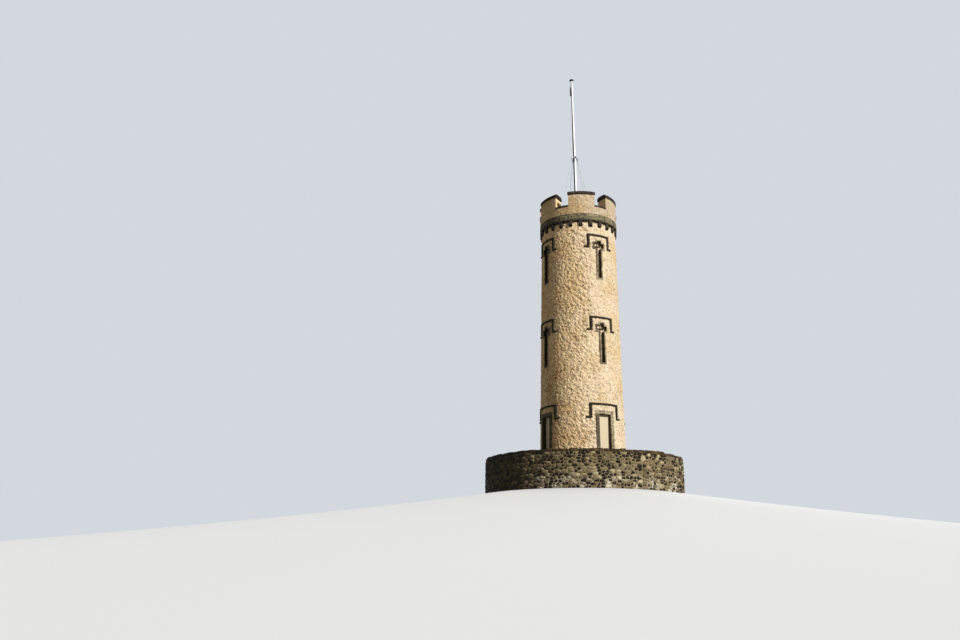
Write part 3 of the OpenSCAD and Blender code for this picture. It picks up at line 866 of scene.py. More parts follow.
def round_skin(low, high, radius_at, gaps):
    """A thrown coat on a round wall: a thin lumpy skin with its edges turned in round the openings."""
    care = bpy.context.scene.tower_harling
    middle, tall = (low + high) / 2, high - low
    around = int(2 * math.pi * radius_at(middle) / care.mesh_step)
    rows = max(2, int(tall / care.mesh_step))
    bm = bmesh.new()
    raised = Matrix.Translation((0, 0, middle))
    bmesh.ops.create_cone(bm, segments=around, radius1=1, radius2=1, depth=tall, matrix=raised)
    upright = [e for e in bm.edges if abs(e.verts[0].co.z - e.verts[1].co.z) > tall / 2]
    bmesh.ops.subdivide_edges(bm, edges=upright, cuts=rows - 1, use_grid_fill=True)
    for angle, blocks in gaps:
        for v in bm.verts:
            set_radius(v, radius_at(v.co.z))
        cut_gap(bm, angle, blocks)
    hollow = bm.verts.layers.float.new("hollow")
    sooty = bm.verts.layers.float.new("sooty")
    # the battlement's coat is lower and evenly sooted; the shaft's is darkened only just under the band, as
    # painted shadow
    upper = low > BAND_FOOT
    for v in bm.verts:
        big = min(1.0, 2.0 * abs(noise.noise(v.co / (care.lump * 0.5))))
        small = 0.5 + noise.noise(v.co / (care.lump * 0.3) + Vector((7.0, 3.0, 1.0)))
        swell = 0.7 * big + 0.3 * small
        # hollow marks the low points between the swells, for dirt and painted shade
        v[hollow] = clamp((0.45 - swell) * 3.0, 0.0, 1.0)
        v[sooty] = 0.3 if upper else clamp(0.9 + (v.co.z - BAND_FOOT + 0.07) * 14.0, 0.0, 0.9)
        out = SKIN_LEAST + care.relief * swell * (0.5 if upper else 1.0)
        set_radius(v, radius_at(v.co.z) + out)
    rim = [e for e in bm.edges if e.is_boundary]
    for v in bmesh.ops.extrude_edge_only(bm, edges=rim)["geom"]:
        if isinstance(v, bmesh.types.BMVert):
            set_radius(v, radius_at(v.co.z) - SKIN_ROOT)
    bmesh.ops.recalc_face_normals(bm, faces=bm.faces[:])
    if sum(f.normal.dot(f.calc_center_median() * Vector((1, 1, 0))) for f in bm.faces) < 0:
        bmesh.ops.reverse_faces(bm, faces=bm.faces[:])
    return bm


def slit_cross(foot):
    """The upright and the arms of a cross slit's surround, as blocks x0, x1, z0, z1."""
    middle = foot + SLIT_MIDDLE
    return [
        (-STEM_HALF, STEM_HALF, foot, foot + SLIT_HEIGHT),
        (-ARM_REACH, ARM_REACH, middle - ARM_HALF_HEIGHT, middle + ARM_HALF_HEIGHT),
    ]


def crenel_angle(k):
    """The angle of a crenel round the tower; merlons stand half way between."""
    return math.radians(MERLON_TURN + 360 / CRENELS * k)


def pole_point(z):
    """The middle of the leaning pole at a height."""
    shift = POLE_OFFSET + math.tan(POLE_LEAN) * (z - ROOF_LEVEL)
    return Vector((shift * math.cos(POLE_LEAN_TOWARDS), shift * math.sin(POLE_LEAN_TOWARDS), z))


def along_pole(z, beside=0.0):
    """Stands a turned part on the leaning pole's line, or beside it on the side it leans to."""
    lean = Matrix.Rotation(POLE_LEAN_TOWARDS, 4, "Z") @ Matrix.Rotation(POLE_LEAN, 4, "Y")
    return Matrix.Translation(pole_point(ROOF_LEVEL)) @ lean @ Matrix.Translation((beside, 0, z - ROOF_LEVEL))


def from_to(start, end):
    """Stands a turned part on one point, in line with another."""
    return Matrix.Translation(start) @ (end - start).to_track_quat("Z", "Y").to_matrix().to_4x4()


class TOWER_OT_finish_solids(Operator):
    """Give every solid of the tower the finish of its real material"""

    bl_idname = "tower.finish_solids"
    bl_label = "Finish the solids"

    def execute(self, context):
        for name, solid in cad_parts.items():
            for start, finish_name in SOLID_FINISHES:
                if name.startswith(start):
                    for held in solid.material_slots:
                        held.material = finish(finish_name)
                    break
        return {"FINISHED"}


class TOWER_OT_harling(Operator):
    """Throw the harling on the shaft and the battlement"""

    bl_idname = "tower.harling"
    bl_label = "Harling"

    def execute(self, context):
        half = DOOR_HALF + DOOR_BORDER
        door = [(-half, half, TERRACE_FLOOR - 1, DOOR_HEAD + DOOR_BORDER)]
        openings = [door] + [slit_cross(foot) for foot in SLIT_FEET]
        gaps = [(side * QUARTER, blocks) for side in range(SIDES) for blocks in openings]
        skin = round_skin(TERRACE_FLOOR, BAND_FOOT, shaft_radius, gaps)
        show("shaft_harling", skin, "lime_harling", 70)
        half = CRENEL_HALF - 0.002
        crenel = [(-half, half, SILL_TOP - 0.06, MERLON_TOP + 1)]
        gaps = [(crenel_angle(k), crenel) for k in range(CRENELS)]
        skin = round_skin(BAND_TOP, MERLON_TOP, lambda z: PARAPET_RADIUS, gaps)
        show("battlement_harling", skin, "lime_harling", 70)
        return {"FINISHED"}


class TOWER_OT_terrace_facing(Operator):
    """Build the random rubble face of the terrace wall"""

    bl_idname = "tower.terrace_facing"
    bl_label = "Terrace rubble"

    def execute(self, context):
        care = context.scene.tower_stonework
        chance = random.Random(11)
        around = 2 * math.pi * TERRACE_RADIUS
        seeds = self.scatter(chance, care.rubble_stone, around)
        course = Course(12)
        place = ring_place(TERRACE_RADIUS)
        joint = care.rubble_joint / 2
        for number, (s, z, _, tone) in enumerate(seeds):
            bm = self.outline(seeds, number, around, joint * chance.uniform(0.5, 1.5))
            area = sum(f.calc_area() for f in bm.faces)
            if area < RUBBLE_LEAST:
                bm.free()
                continue
            self.crown(bm, chance, s, z, area)
            weather(bm, 0.012, 0.07, number)
            for v in bm.verts:
                v.co.y = clamp(v.co.y, -FACING_PROUD, 0.0)
                v.co.z = max(0.004, v.co.z)
            course.lay(bm, place, tone)
        course.show("terrace_facing", "rubble_field_stone", "rubble", 65)
        return {"FINISHED"}

    def scatter(self, chance, usual, around):
        """The stones in rough rows: each one's middle along and up, its lead over the next and its tone."""
        seeds = []
        for row in range(RUBBLE_ROWS):
            middle = TERRACE_WALL_TOP * (row + 0.5) / RUBBLE_ROWS
            s = chance.uniform(0, 0.3)
            while s < around - 0.1:
                dark = chance.random() < 0.5
                wide = usual * (chance.uniform(0.5, 1.05) if dark else chance.uniform(0.5, 1.4))
                tone = chance.uniform(0.0, 0.33) if dark else 0.36 + 0.64 * chance.random() ** 1.3
                lead = chance.uniform(0.0, 0.05) if dark else chance.uniform(0.03, 0.12)
                seeds.append((s + wide / 2, middle + chance.uniform(-0.05, 0.05), lead * lead, tone))
                s += wide
        return seeds

    def outline(self, seeds, number, around, joint):
        """A stone's flat face, cut back to the joints with the stones round it."""
        s, z, lead, _ = seeds[number]
        bm = bmesh.new()
        upright = Matrix.Translation((s, 0.03, z)) @ Matrix.Rotation(QUARTER, 4, "X")
        bmesh.ops.create_grid(bm, x_segments=1, y_segments=1, size=RUBBLE_PANEL, matrix=upright)
        rivals = []
        for other, (s2, z2, lead2, _) in enumerate(seeds):
            ds = (s2 - s + around / 2) % around - around / 2
            dz = (z2 - z) * RUBBLE_FLATNESS
            apart = ds * ds + dz * dz
            if number != other and apart < RUBBLE_REACH_SQUARED:
                rivals.append((apart, ds, dz, lead2))
        for apart, ds, dz, lead2 in sorted(rivals)[:RUBBLE_NEIGHBOURS]:
            far = math.sqrt(apart)
            halfway = (apart + lead - lead2) / (2 * far) - joint
            way = Vector((ds / far, 0, dz / far * RUBBLE_FLATNESS)).normalized()
            at = Vector((s + ds / far * halfway, 0, z + dz / far * halfway / RUBBLE_FLATNESS))
            cut(bm, at, way, clear_outer=True)
        cut(bm, (0, 0, 0.012), (0, 0, -1), clear_outer=True)
        cut(bm, (0, 0, TERRACE_WALL_TOP - 0.008), (0, 0, 1), clear_outer=True)
        return bm

    def crown(self, bm, chance, s, z, area):
        """Rounds the corners of a stone's face and draws it out into a low tilted crown."""
        soft = min(0.05, 0.16 * math.sqrt(area))
        bevel(bm, bm.verts[:], soft, affect="VERTICES")
        face = bm.faces[:][0]
        if face.normal.y > 0:
            face.normal_flip()
        out = chance.uniform(0.012, 0.032)
        front = draw_out(bm, face, (0, -0.03 - out * 0.55, 0))
        bmesh.ops.inset_region(bm, faces=[front], thickness=min(0.035, soft * 0.8), depth=out * 0.45)
        tilt_x, tilt_z = chance.uniform(-0.05, 0.05), chance.uniform(-0.05, 0.05)
        for v in front.verts:
            v.co.y += (v.co.x - s) * tilt_x + (v.co.z - z) * tilt_z
        for v in bmesh.ops.poke(bm, faces=[front])["verts"]:
            v.co.y -= 0.007


class TOWER_OT_terrace_coping(Operator):
    """Set the rough coping stones along the terrace wall"""

    bl_idname = "tower.terrace_coping"
    bl_label = "Terrace copings"

    def execute(self, context):
        course = Course(21)
        chance = course.chance
        place = ring_place(TERRACE_RADIUS)
        front, back, seed = -0.03, 0.6, 0
        for s0, s1 in stretches(chance, 0.0, 2 * math.pi * TERRACE_RADIUS, *COPING_LENGTHS):
            deep = [front, back] if chance.random() < 0.45 else [front, chance.uniform(0.2, 0.4), back]
            for y0, y1 in zip(deep, deep[1:]):
                seed += 1
                top = TERRACE_TOP - chance.uniform(0.012, 0.075)
                face = y0 + 0.006 + chance.uniform(0, 0.02)
                bm = box((s0 + 0.008, face, TERRACE_WALL_TOP - 0.02), (s1 - 0.008, y1 - 0.006, top))
                wear(bm, 0.03, 2)
                slice_up(bm, 0.14, (0, 1))
                weather(bm, 0.014, 0.16, seed)
                course.lay(bm, place)
        stones = course.show("terrace_coping_stones", "lichened_coping_rubble", "coping_rubble", 60)
        # the mortar bed shows in the joints, so it lies a little inside the stones' outline
        inner, outer, foot = TERRACE_INNER + 0.01, TERRACE_RADIUS - 0.01, TERRACE_WALL_TOP - 0.005
        bed_line = [(inner, foot), (inner, TERRACE_FLOOR + 0.015), (outer, TERRACE_FLOOR), (outer, foot)]
        bed = spun(bed_line, 180, closed=True)
        weather(bed, 0.008, 0.3, 5)
        show("terrace_coping_bed", bed, "lime_mortar", 50)
        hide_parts("terrace_coping")
        return {"FINISHED"}


class TOWER_OT_terrace_paving(Operator):
    """Lay the flags of the terrace"""

    bl_idname = "tower.terrace_paving"
    bl_label = "Paving flags"

    def execute(self, context):
        course = Course(31)
        chance = course.chance
        joint = 0.007
        for inner, outer in zip(FLAG_RINGS, FLAG_RINGS[1:]):
            middle = (inner + outer) / 2
            place = ring_place(middle)
            front, back = middle - outer + joint, middle - inner - joint
            for s0, s1 in stretches(chance, 0.0, 2 * math.pi * middle, *FLAG_LENGTHS):
                top = TERRACE_FLOOR + chance.uniform(0.006, 0.014)
                bm = box((s0 + joint, front, TERRACE_FLOOR - 0.05), (s1 - joint, back, top))
                wear(bm, 0.006)
                slice_up(bm, 0.22, (0,))
                weather(bm, 0.003, 0.3, s0)
                course.lay(bm, place)
        course.show("paving_flags", "worn_paving_flag", "paving")
        return {"FINISHED"}


class TOWER_OT_door_surrounds(Operator):
    """Build the stone surrounds of the blind doors"""

    bl_idname = "tower.door_surrounds"
    bl_label = "Door surrounds"

    def execute(self, context):
        care = context.scene.tower_stonework
        joint = care.dressed_joint / 2
        course = Course(41)
        inner, outer = DOOR_HALF - 0.004, DOOR_HALF + DOOR_BORDER + 0.002
        front, back = -STONE_PROUD - 0.004, DOOR_RECESS + 0.1
        for side in range(SIDES):
            place = front_place(side)
            # the surround on the side away from the light is darkened all over as painted shade, and so is
            # the face of each left-hand jamb
            damp = 0.6 if side == 3 else 0.0
            for hand in (-1, 1):
                face = 0.7 if hand < 0 else damp
                x0, x1 = sorted((hand * inner, hand * outer))
                for z0, z1 in stretches(course.chance, TERRACE_FLOOR - 0.01, DOOR_HEAD, *JAMB_LENGTHS):
                    bm = box((x0, front, z0 + joint), (x1, back, z1 - joint))
                    wear(bm, care.arris)
                    slice_up(bm, 0.13, (2,))
                    slice_up(bm, 0.08, (1,))
                    weather(bm, 0.003, 0.08, z0 + side * 7 + hand)
                    course.lay(bm, place, None, jamb_shade(face))
            foot, head = DOOR_HEAD - 0.004 + joint, DOOR_HEAD + DOOR_BORDER + 0.002
            bm = box((-outer, front, foot), (outer, back, head))
            wear(bm, care.arris)
            slice_up(bm, 0.12, (0,))
            slice_up(bm, 0.08, (1,))
            weather(bm, 0.003, 0.1, side)
            course.lay(bm, place, 0.5, jamb_shade(damp * 0.7))
        course.show("door_surround_stones", "buff_surround_sandstone", "surround_stone")
        return {"FINISHED"}


class TOWER_OT_slit_surrounds(Operator):
    """Build the stone surrounds of the cross slits"""

    bl_idname = "tower.slit_surrounds"
    bl_label = "Slit surrounds"

    def execute(self, context):
        care = context.scene.tower_stonework
        joint = care.dressed_joint / 2
        front = -STONE_PROUD - 0.004
        # each cross as its stem's half width, its arms' reach and half height, and how far it is drawn in
        rim, frame_in, ledge_out, ledge_in = (
            (STEM_HALF - by, ARM_REACH - by, ARM_HALF_HEIGHT - by, by)
            for by in (-0.002, SLIT_BORDER + 0.003, SLIT_BORDER - 0.004, SLIT_EDGE + 0.003)
        )
        names = ("first_slit_surround_stones", "second_slit_surround_stones")
        for name, foot in zip(names, SLIT_FEET):
            course = Course(51 + int(foot))
            chance = course.chance
            ledge = SLIT_SINKING - shaft_radius(foot + SLIT_HEIGHT / 2) - 0.003
            middle, top, sill = foot + SLIT_MIDDLE, foot + SLIT_HEIGHT, foot + SLIT_FOOT_STONE
            low, high = middle - ARM_HALF_HEIGHT + joint, middle + ARM_HALF_HEIGHT - joint

            def both_hands(line):
                return line + [(-x, z) for x, z in reversed(line)]

            def upside_down(line):
                return [(x, 2 * middle - z) for x, z in reversed(line)]

            def foot_stone(outer, inner):
                bed = sill - joint
                line = [(outer[0], foot + outer[3]), (outer[0], bed), (inner[0], bed)]
                return both_hands(line + [(inner[0], foot + inner[3])])

            def stem_stone(outer, inner, z0, z1):
                return [(inner[0], z0), (outer[0], z0), (outer[0], z1), (inner[0], z1)]

            def arm_stone(outer, inner):
                line = [(inner[0], high), (inner[0], middle + inner[2]), (inner[1], middle + inner[2])]
                reach = [(outer[0], low), (outer[0], middle - outer[2]), (outer[1], middle - outer[2])]
                if outer[2] >= high - middle:
                    reach = [(outer[1], low)]
                return line + upside_down(line) + reach + upside_down(reach)

            def head_stone(outer, inner):
                bed = high + 2 * joint
                line = [(outer[0], top - outer[3]), (outer[0], bed)]
                if top - inner[3] >= bed:
                    line += [(inner[0], bed), (inner[0], top - inner[3])]
                return both_hands(line)

            for side in range(SIDES):
                place, level = front_place(side), turned_place(side * QUARTER)

                def set_stone(kind, hand=1, *heights):
                    # the left-hand stones are drawn darker in tone and with painted shade on their faces, and
                    # the foot stone is a little darker
                    tone = chance.random() * (0.4 if hand < 0 else 1.0)
                    face = 0.35 if kind is foot_stone else 0.55 if hand < 0 else 0.0
                    outline = [(hand * x, z) for x, z in kind(rim, frame_in, *heights)]
                    bm = upright_prism(outline, front, SLIT_SINKING + 0.05)
                    wear(bm, care.arris * 0.8)
                    slice_up(bm, 0.16)
                    slice_up(bm, 0.08, (1,))
                    weather(bm, 0.002, 0.08, tone * 9)
                    course.lay(bm, place, tone, jamb_shade(face))
                    outline = [(hand * x, z) for x, z in kind(ledge_out, ledge_in, *heights)]
                    bm = upright_prism(outline, ledge, ledge + 0.09)
                    wear(bm, 0.004)
                    # the backs of the crosses are drawn paler than any face, as painted light
                    course.lay(bm, level, 1.9, lambda point: 0.0)

                set_stone(foot_stone)
                for hand in (-1, 1):
                    for z0, z1 in stretches(chance, sill, low - joint, *STEM_LENGTHS):
                        set_stone(stem_stone, hand, z0 + joint, z1 - joint)
                    set_stone(arm_stone, hand)
                set_stone(head_stone)
            course.show(name, "buff_surround_sandstone", "surround_stone")
        return {"FINISHED"}


class TOWER_OT_hood_moulds(Operator):
    """Build the hood moulds over the doors and the slits"""

    bl_idname = "tower.hood_moulds"
    bl_label = "Hood moulds"

    def execute(self, context):
        joint = context.scene.tower_stonework.dressed_joint / 4
        rows = (
            ("door_hood_stones", "door_hoods", 45, DOOR_HOOD_TOPS, DOOR_HOOD_DROP, DOOR_HOOD_HALF),
            ("slit_hood_stones", "slit_hoods", 91, SLIT_HOOD_TOPS, SLIT_HOOD_DROP, SLIT_HOOD_HALF),
        )
        for name, node, seed, tops, drop, half in rows:
            course = Course(seed)
            inner, tip = half - HOOD_WIDTH, half + HOOD_REACH
            ends = (-half, -half / 3, half / 3, half)
            for top, side in [(top, side) for top in tops for side in range(SIDES)]:
                foot, under = top - drop, top - HOOD_WIDTH
                place = front_place(side)
                stones = [(x0, x1, under, top) for x0, x1 in zip(ends, ends[1:])]
                for hand in (-1, 1):
                    stones.append((*sorted((hand * inner, hand * half)), foot + HOOD_WIDTH, under))
                    stones.append((*sorted((hand * inner, hand * tip)), foot, foot + HOOD_WIDTH))
                for x0, x1, z0, z1 in stones:
                    flat = x1 - x0 > z1 - z0
                    dx, dz = (joint, 0.0) if flat else (0.0, joint)
                    bm = box((x0 + dx, -HOOD_PROJECTION, z0 + dz), (x1 - dx, 0.06, z1 - dz))
                    if flat:
                        for v in [v for v in bm.verts if v.co.y < 0 and v.co.z > z1 - 0.01]:
                            v.co.z -= HOOD_FALL
                    wear(bm, 0.008, 2)
                    slice_up(bm, 0.12)
                    weather(bm, 0.003, 0.09, x0 * 3 + z0 + side)
                    course.lay(bm, place)
            piece = course.show(name, "weathered_trim_sandstone", "trim_stone")
            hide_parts(node)
        return {"FINISHED"}


class TOWER_OT_corbels(Operator):
    """Build the corbels under the band"""

    bl_idname = "tower.corbels"
    bl_label = "Corbels"

    def execute(self, context):
        course = Course(61)
        chance = course.chance
        front, root = -BAND_RADIUS + 0.002, -1.80
        for k in range(CORBELS):
            half = (CORBEL_WIDTH - chance.uniform(0.0, 0.02)) / 2
            foot = BAND_FOOT - (CORBEL_HEIGHT - chance.uniform(0, 0.03))
            bm = box((-half, front, foot), (half, root, BAND_FOOT))
            low = {v for v in bm.verts if v.co.y < root - 0.1 and v.co.z < BAND_FOOT - 0.1}
            toe = [e for e in bm.edges if low.issuperset(e.verts)]
            bevel(bm, toe, CORBEL_TOE, 5)
            wear(bm, 0.009)
            slice_up(bm, 0.09, (2,))
            weather(bm, 0.005, 0.09, k)
            place = turned_place(math.radians(CORBEL_TURN + 360 / CORBELS * k))
            course.lay(bm, place, None, self.soot)
        piece = course.show("corbel_stones", "weathered_coping_sandstone", "trim_stone")
        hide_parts("corbels")
        return {"FINISHED"}

    def soot(self, point):
        """Painted shadow right under the band and painted shade on the corbel's foot, but none across its
        face.
        """
        return abs(point.z - BAND_FOOT + 0.12) * 12.0 - 0.5


class TOWER_OT_band(Operator):
    """Build the stone band over the corbels"""

    bl_idname = "tower.band"
    bl_label = "Stone band"

    def execute(self, context):
        care = context.scene.tower_stonework
        joint = care.dressed_joint / 2
        course = Course(71)
        chance = course.chance
        place = ring_place(BAND_RADIUS)
        around = 2 * math.pi * BAND_RADIUS
        cuts = [around * (k + chance.uniform(-0.16, 0.16)) / BAND_STONES for k in range(BAND_STONES)]
        cuts.append(cuts[0] + around)
        for s0, s1 in zip(cuts, cuts[1:]):
            proud = chance.uniform(0.003, 0.007)
            bm = box((s0 + joint, -proud, BAND_FOOT - 0.002), (s1 - joint, 0.2, BAND_TOP + 0.002))
            edge = [e for e in bm.edges if all(v.co.y < 0 and v.co.z > BAND_TOP for v in e.verts)]
            bevel(bm, edge, 0.025)
            wear(bm, care.arris)
            slice_up(bm, 0.07)
            weather(bm, 0.003, 0.09, s0)
            # the band's lower edge is darkened as painted shadow under it
            course.lay(bm, place, None, lambda point: 0.85 - (point.z - BAND_FOOT - 0.05) * 14.0)
        course.show("band_stones", "olive_band_sandstone", "band_stone")
        return {"FINISHED"}


class TOWER_OT_merlon_copings(Operator):
    """Set the coping stones on the merlons"""

    bl_idname = "tower.merlon_copings"
    bl_label = "Merlon copings"

    def execute(self, context):
        joint = context.scene.tower_stonework.dressed_joint / 2
        course = Course(81)
        inner, outer = PARAPET_INNER - COPING_OVERHANG, PARAPET_RADIUS + COPING_OVERHANG
        arris, slope = BATTLEMENT_TOP - COPING_FALL, 2 * COPING_FALL
        profile = [
            (-outer, MERLON_TOP), (-inner, MERLON_TOP), (-inner, arris),
            (-inner - slope, BATTLEMENT_TOP), (-outer + slope, BATTLEMENT_TOP), (-outer, arris),
        ]
        gap = CRENEL_HALF - COPING_OVERHANG
        half_merlon = math.pi / CRENELS
        ends = (-1.0, -0.34, 0.34, 1.0)
        for k in range(CRENELS):

            def place(point, turn=crenel_angle(k + 0.5)):
                reach = -point.y
                return round_point(turn + point.x * (half_merlon - math.asin(gap / reach)), reach, point.z)

            for x0, x1 in zip(ends, ends[1:]):
                bm = prism([(x0 + joint, y, z) for y, z in profile], (x1 - x0 - 2 * joint, 0, 0))
                wear(bm, 0.012, 2)
                slice_up(bm, 0.05, (2,))
                slice_up(bm, 0.12, (0, 1))
                weather(bm, 0.005, 0.12, k * 3 + x0)
                course.lay(bm, place, None, self.soot)
        piece = course.show("merlon_coping_stones", "weathered_coping_sandstone", "trim_stone")
        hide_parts("merlon_copings")
        return {"FINISHED"}

    def soot(self, point):
        """Painted shadow along the foot under the overhang, and darkening at the arris, but none on its top.
        """
        return min(abs(point.z - MERLON_TOP - 0.11) * 24.0 - 0.7, (BATTLEMENT_TOP - point.z) * 20.0)


class TOWER_OT_crenel_sills(Operator):
    """Set the sill stones in the crenels"""

    bl_idname = "tower.crenel_sills"
    bl_label = "Crenel sills"

    def execute(self, context):
        course = Course(91)
        inner, outer = PARAPET_INNER - COPING_OVERHANG, PARAPET_RADIUS + COPING_OVERHANG
        for k in range(CRENELS):

            def place(point, turn=about_axis(crenel_angle(k))):
                return turn @ Vector((point.x, -math.sqrt(point.y * point.y - point.x * point.x), point.z))

            bm = box((-CRENEL_HALF, -outer, PARAPET_TOP), (CRENEL_HALF, -inner, SILL_TOP))
            wear(bm, 0.012, 2)
            slice_up(bm, 0.1, (0, 1))
            weather(bm, 0.004, 0.12, k)
            course.lay(bm, place)
        piece = course.show("crenel_sill_stones", "weathered_coping_sandstone", "trim_stone")
        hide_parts("crenel_sills")
        return {"FINISHED"}


class TOWER_OT_pole_fittings(Operator):
    """Turn the truck, the weight of the halyard and the ring of the flagpole"""

    bl_idname = "tower.pole_fittings"
    bl_label = "Pole fittings"

    def execute(self, context):
        profile = [
            (0.0, 0.0005), (0.053, 0.0005), (0.054, 0.003), (0.054, 0.020), (0.062, 0.0255),
            (0.124, 0.0255), (0.1285, 0.029), (0.1295, 0.034), (0.1295, 0.050), (0.1265, 0.0545),
            (0.098, 0.070), (0.066, 0.0865), (0.050, 0.0895), (0.0, 0.0895),
        ]
        shape = turned(profile, 32, along_pole(TRUCK_FOOT))
        truck = show("pole_truck_turned", shape, "painted_cast_iron", 35)
        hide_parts("pole_truck")
        profile = [
            (0.0, 0.0005), (0.029, 0.0005), (0.0345, 0.008), (0.0345, 0.476), (0.0335, 0.486),
            (0.024, 0.540), (0.012, 0.608), (0.0049, 0.650), (0.0049, 1.0145), (0.0, 1.0145),
        ]
        foot = TRUCK_RIM - WEIGHT_DROP
        share = (foot - POLE_STEP) / (TRUCK_FOOT - POLE_STEP)
        pole_radius = POLE_UPPER_RADIUS + (POLE_TIP_RADIUS - POLE_UPPER_RADIUS) * share
        shape = turned(profile, 24, along_pole(foot, pole_radius + SEAT_GAP + WEIGHT_RADIUS))
        weight = show("halyard_weight_turned", shape, "painted_cast_iron", 35)
        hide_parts("halyard_weight")
        profile = [
            (0.06, -0.05), (0.079, -0.05), (0.083, -0.04), (0.083, 0.03), (0.078, 0.045),
            (0.0752, 0.06), (0.06, 0.06), (0.06, -0.05),
        ]
        shape = turned(profile, 32, along_pole(POLE_STEP))
        show("pole_step_ring", shape, "white_gloss_paint", 35)
        return {"FINISHED"}


class TOWER_OT_stay_fittings(Operator):
    """Make the rigging screws at the feet of the stays and the shackles at their heads"""

    bl_idname = "tower.stay_fittings"
    bl_label = "Stay fittings"

    def execute(self, context):
        screws, shackles = Course(), Course()
        shackle = [
            (0.0, 0.03), (0.010, 0.03), (0.022, 0.06), (0.024, 0.13),
            (0.016, 0.19), (0.011, 0.30), (0.0, 0.30),
        ]
        screw = [
            (0.0, 0.10), (0.014, 0.10), (0.014, 0.16), (0.022, 0.17), (0.022, 0.21), (0.018, 0.22),
            (0.018, 0.40), (0.022, 0.41), (0.022, 0.45), (0.014, 0.46), (0.014, 0.54), (0.0, 0.54),
        ]
        grip = [(0.0, 0.62), (0.016, 0.62), (0.019, 0.63), (0.019, 0.70), (0.016, 0.71), (0.0, 0.71)]
        for k in range(STAYS):
            way = Vector((math.cos(k * QUARTER), math.sin(k * QUARTER), 0))
            foot = way * STAY_ANCHOR + Vector((0, 0, STAY_FOOT))
            head = pole_point(COLLAR_HEIGHT) + way * LUG_REACH
            for profile in (screw, grip):
                screws.lay(turned(profile, 12, from_to(foot, head)), as_made, 0.5)
            shackles.lay(turned(shackle, 12, from_to(head, foot)), as_made, 0.5)
        screws.show("stay_rigging_screws", "galvanised_wire_rope", "stay_wire", 35)
        shackles.show("stay_shackles", "painted_cast_iron", "pole_fittings", 35)
        return {"FINISHED"}


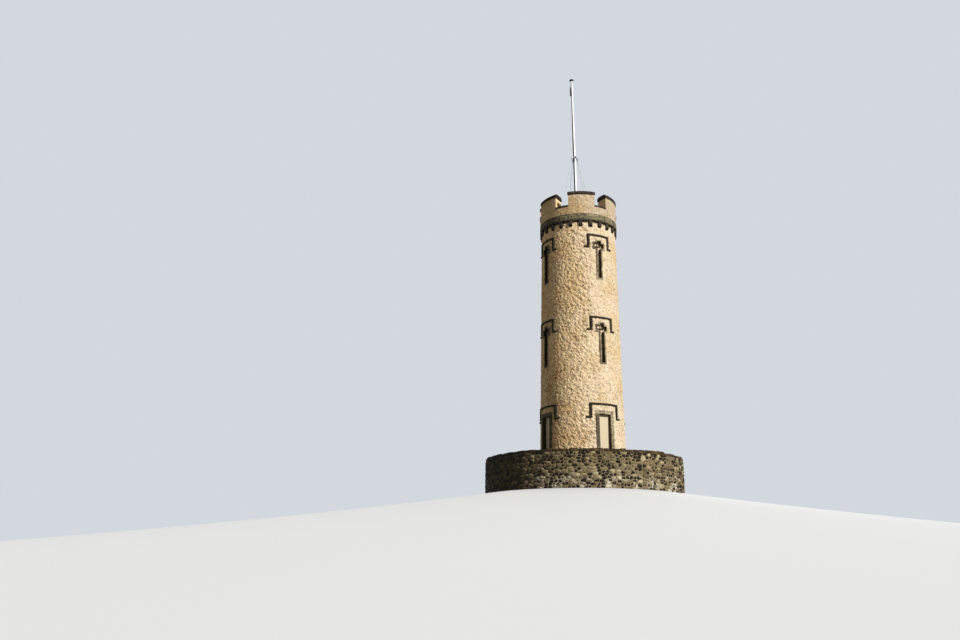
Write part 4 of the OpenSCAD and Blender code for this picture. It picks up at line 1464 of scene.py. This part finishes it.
class TOWER_OT_stage(Operator):
    """Set up the floor, the light and the camera"""

    bl_idname = "tower.stage"
    bl_label = "Stage"

    def execute(self, context):
        care = context.scene.tower_stage
        scene = context.scene
        scene.view_settings.view_transform = "Standard"
        self.lay_floor(scene, care)
        self.light(scene, care)
        self.look(scene)
        return {"FINISHED"}

    def seen(self, tree):
        """1 for what the camera sees, also by reflection or through glass, and 0 for light that bounces."""
        rays = add(tree, "LightPath").outputs
        either = add(tree, "Math", {0: rays["Is Camera Ray"], 1: rays["Is Glossy Ray"]}, operation="ADD")
        through = rays["Is Transmission Ray"]
        return add(tree, "Math", {0: either, 1: through}, operation="ADD", use_clamp=True)

    def lay_floor(self, scene, care):
        """A plain floor that falls gently away all round, as the photograph looks up at the terrace."""
        line = [(0.0, 0.0), (FLOOR_LEVEL_RADIUS, 0.0)]
        for k in range(1, 41):
            out = k / 40
            line.append((FLOOR_LEVEL_RADIUS + FLOOR_SLOPE * out, -FLOOR_DROP * (1 - (1 - out) ** 2.05)))
        line.append((FLOOR_RADIUS, -FLOOR_DROP))
        bm = spun(line, 128)
        mesh = bpy.data.meshes.new("studio_floor")
        bm.to_mesh(mesh)
        bm.free()
        mesh.shade_smooth()
        material = bpy.data.materials.new("pale_studio_floor")
        tree = empty_tree(material)
        shown = add(tree, "BsdfDiffuse", {"Color": care.floor})
        quiet = add(tree, "BsdfDiffuse", {"Color": "#8A8A88"})
        mixed = add(tree, "MixShader", {0: self.seen(tree), 1: quiet, 2: shown})
        add(tree, "OutputMaterial", {"Surface": mixed})
        mesh.materials.append(material)
        floor = bpy.data.objects.new("studio_floor", mesh)
        scene.collection.objects.link(floor)

    def light(self, scene, care):
        """A large soft lamp from the right, a weak one from behind, and an even pale sky."""
        scene.world = bpy.data.worlds.new("studio")
        tree = empty_tree(scene.world)
        backdrop = add(tree, "Background", {"Color": care.backdrop, "Strength": 1.0})
        sky = add(tree, "Background", {"Color": "#FFFFFF", "Strength": care.sky})
        mixed = add(tree, "MixShader", {0: self.seen(tree), 1: sky, 2: backdrop})
        add(tree, "OutputWorld", {"Surface": mixed})
        for name, strength, around, up, spread in (
            ("soft_key", care.key, 18.0, 28.0, 5.0),
            ("soft_back_fill", care.fill, 150.0, 38.0, 40.0),
        ):
            lamp = bpy.data.lights.new(name, "SUN")
            lamp.energy = strength
            lamp.angle = math.radians(spread)
            holder = bpy.data.objects.new(name, lamp)
            rise = math.radians(up)
            towards = round_point(math.radians(around), math.cos(rise), math.sin(rise))
            holder.location = towards * 60
            holder.rotation_euler = towards.to_track_quat("Z", "Y").to_euler()
            scene.collection.objects.link(holder)

    def look(self, scene):
        """The camera at the photograph's place and angle."""
        lens = bpy.data.cameras.new("photo_camera")
        lens.lens, lens.sensor_width = CAMERA_LENS, CAMERA_SENSOR
        lens.clip_start, lens.clip_end = 0.5, 2 * FLOOR_RADIUS
        camera = bpy.data.objects.new("photo_camera", lens)
        eye = Matrix.Translation(round_point(CAMERA_ROUND, CAMERA_DISTANCE, CAMERA_HEIGHT))
        yaw = Matrix.Rotation(CAMERA_ROUND + CAMERA_YAW, 4, "Z")
        pitch = Matrix.Rotation(QUARTER + CAMERA_PITCH, 4, "X")
        camera.matrix_world = eye @ yaw @ pitch @ Matrix.Rotation(CAMERA_ROLL, 4, "Z")
        scene.collection.objects.link(camera)
        scene.camera = camera


OPERATORS = (
    TOWER_OT_stage,
    TOWER_OT_finish_solids,
    TOWER_OT_terrace_facing,
    TOWER_OT_terrace_coping,
    TOWER_OT_terrace_paving,
    TOWER_OT_harling,
    TOWER_OT_door_surrounds,
    TOWER_OT_slit_surrounds,
    TOWER_OT_hood_moulds,
    TOWER_OT_corbels,
    TOWER_OT_band,
    TOWER_OT_merlon_copings,
    TOWER_OT_crenel_sills,
    TOWER_OT_pole_fittings,
    TOWER_OT_stay_fittings,
)


class TOWER_PT_pieces(Panel):
    """The pieces of the tower, in the order they are built"""

    bl_idname = "TOWER_PT_pieces"
    bl_label = "Round castle tower"
    bl_space_type = "VIEW_3D"
    bl_region_type = "UI"
    bl_category = "Tower"

    def draw(self, context):
        for kind in OPERATORS:
            self.layout.operator(kind.bl_idname)
        for care in (context.scene.tower_harling, context.scene.tower_stonework, context.scene.tower_stage):
            box_layout = self.layout.box()
            for name in care.__annotations__:
                box_layout.prop(care, name)


CLASSES = (TowerHarling, TowerStonework, TowerStage, *OPERATORS, TOWER_PT_pieces)


def register():
    for kind in CLASSES:
        bpy.utils.register_class(kind)
    bpy.types.Scene.tower_harling = PointerProperty(type=TowerHarling)
    bpy.types.Scene.tower_stonework = PointerProperty(type=TowerStonework)
    bpy.types.Scene.tower_stage = PointerProperty(type=TowerStage)


def unregister():
    del bpy.types.Scene.tower_harling
    del bpy.types.Scene.tower_stonework
    del bpy.types.Scene.tower_stage
    for kind in reversed(CLASSES):
        bpy.utils.unregister_class(kind)


def main():
    register()
    for kind in OPERATORS:
        group, name = kind.bl_idname.split(".")
        getattr(getattr(bpy.ops, group), name)()


if __name__ == "__main__":
    main()
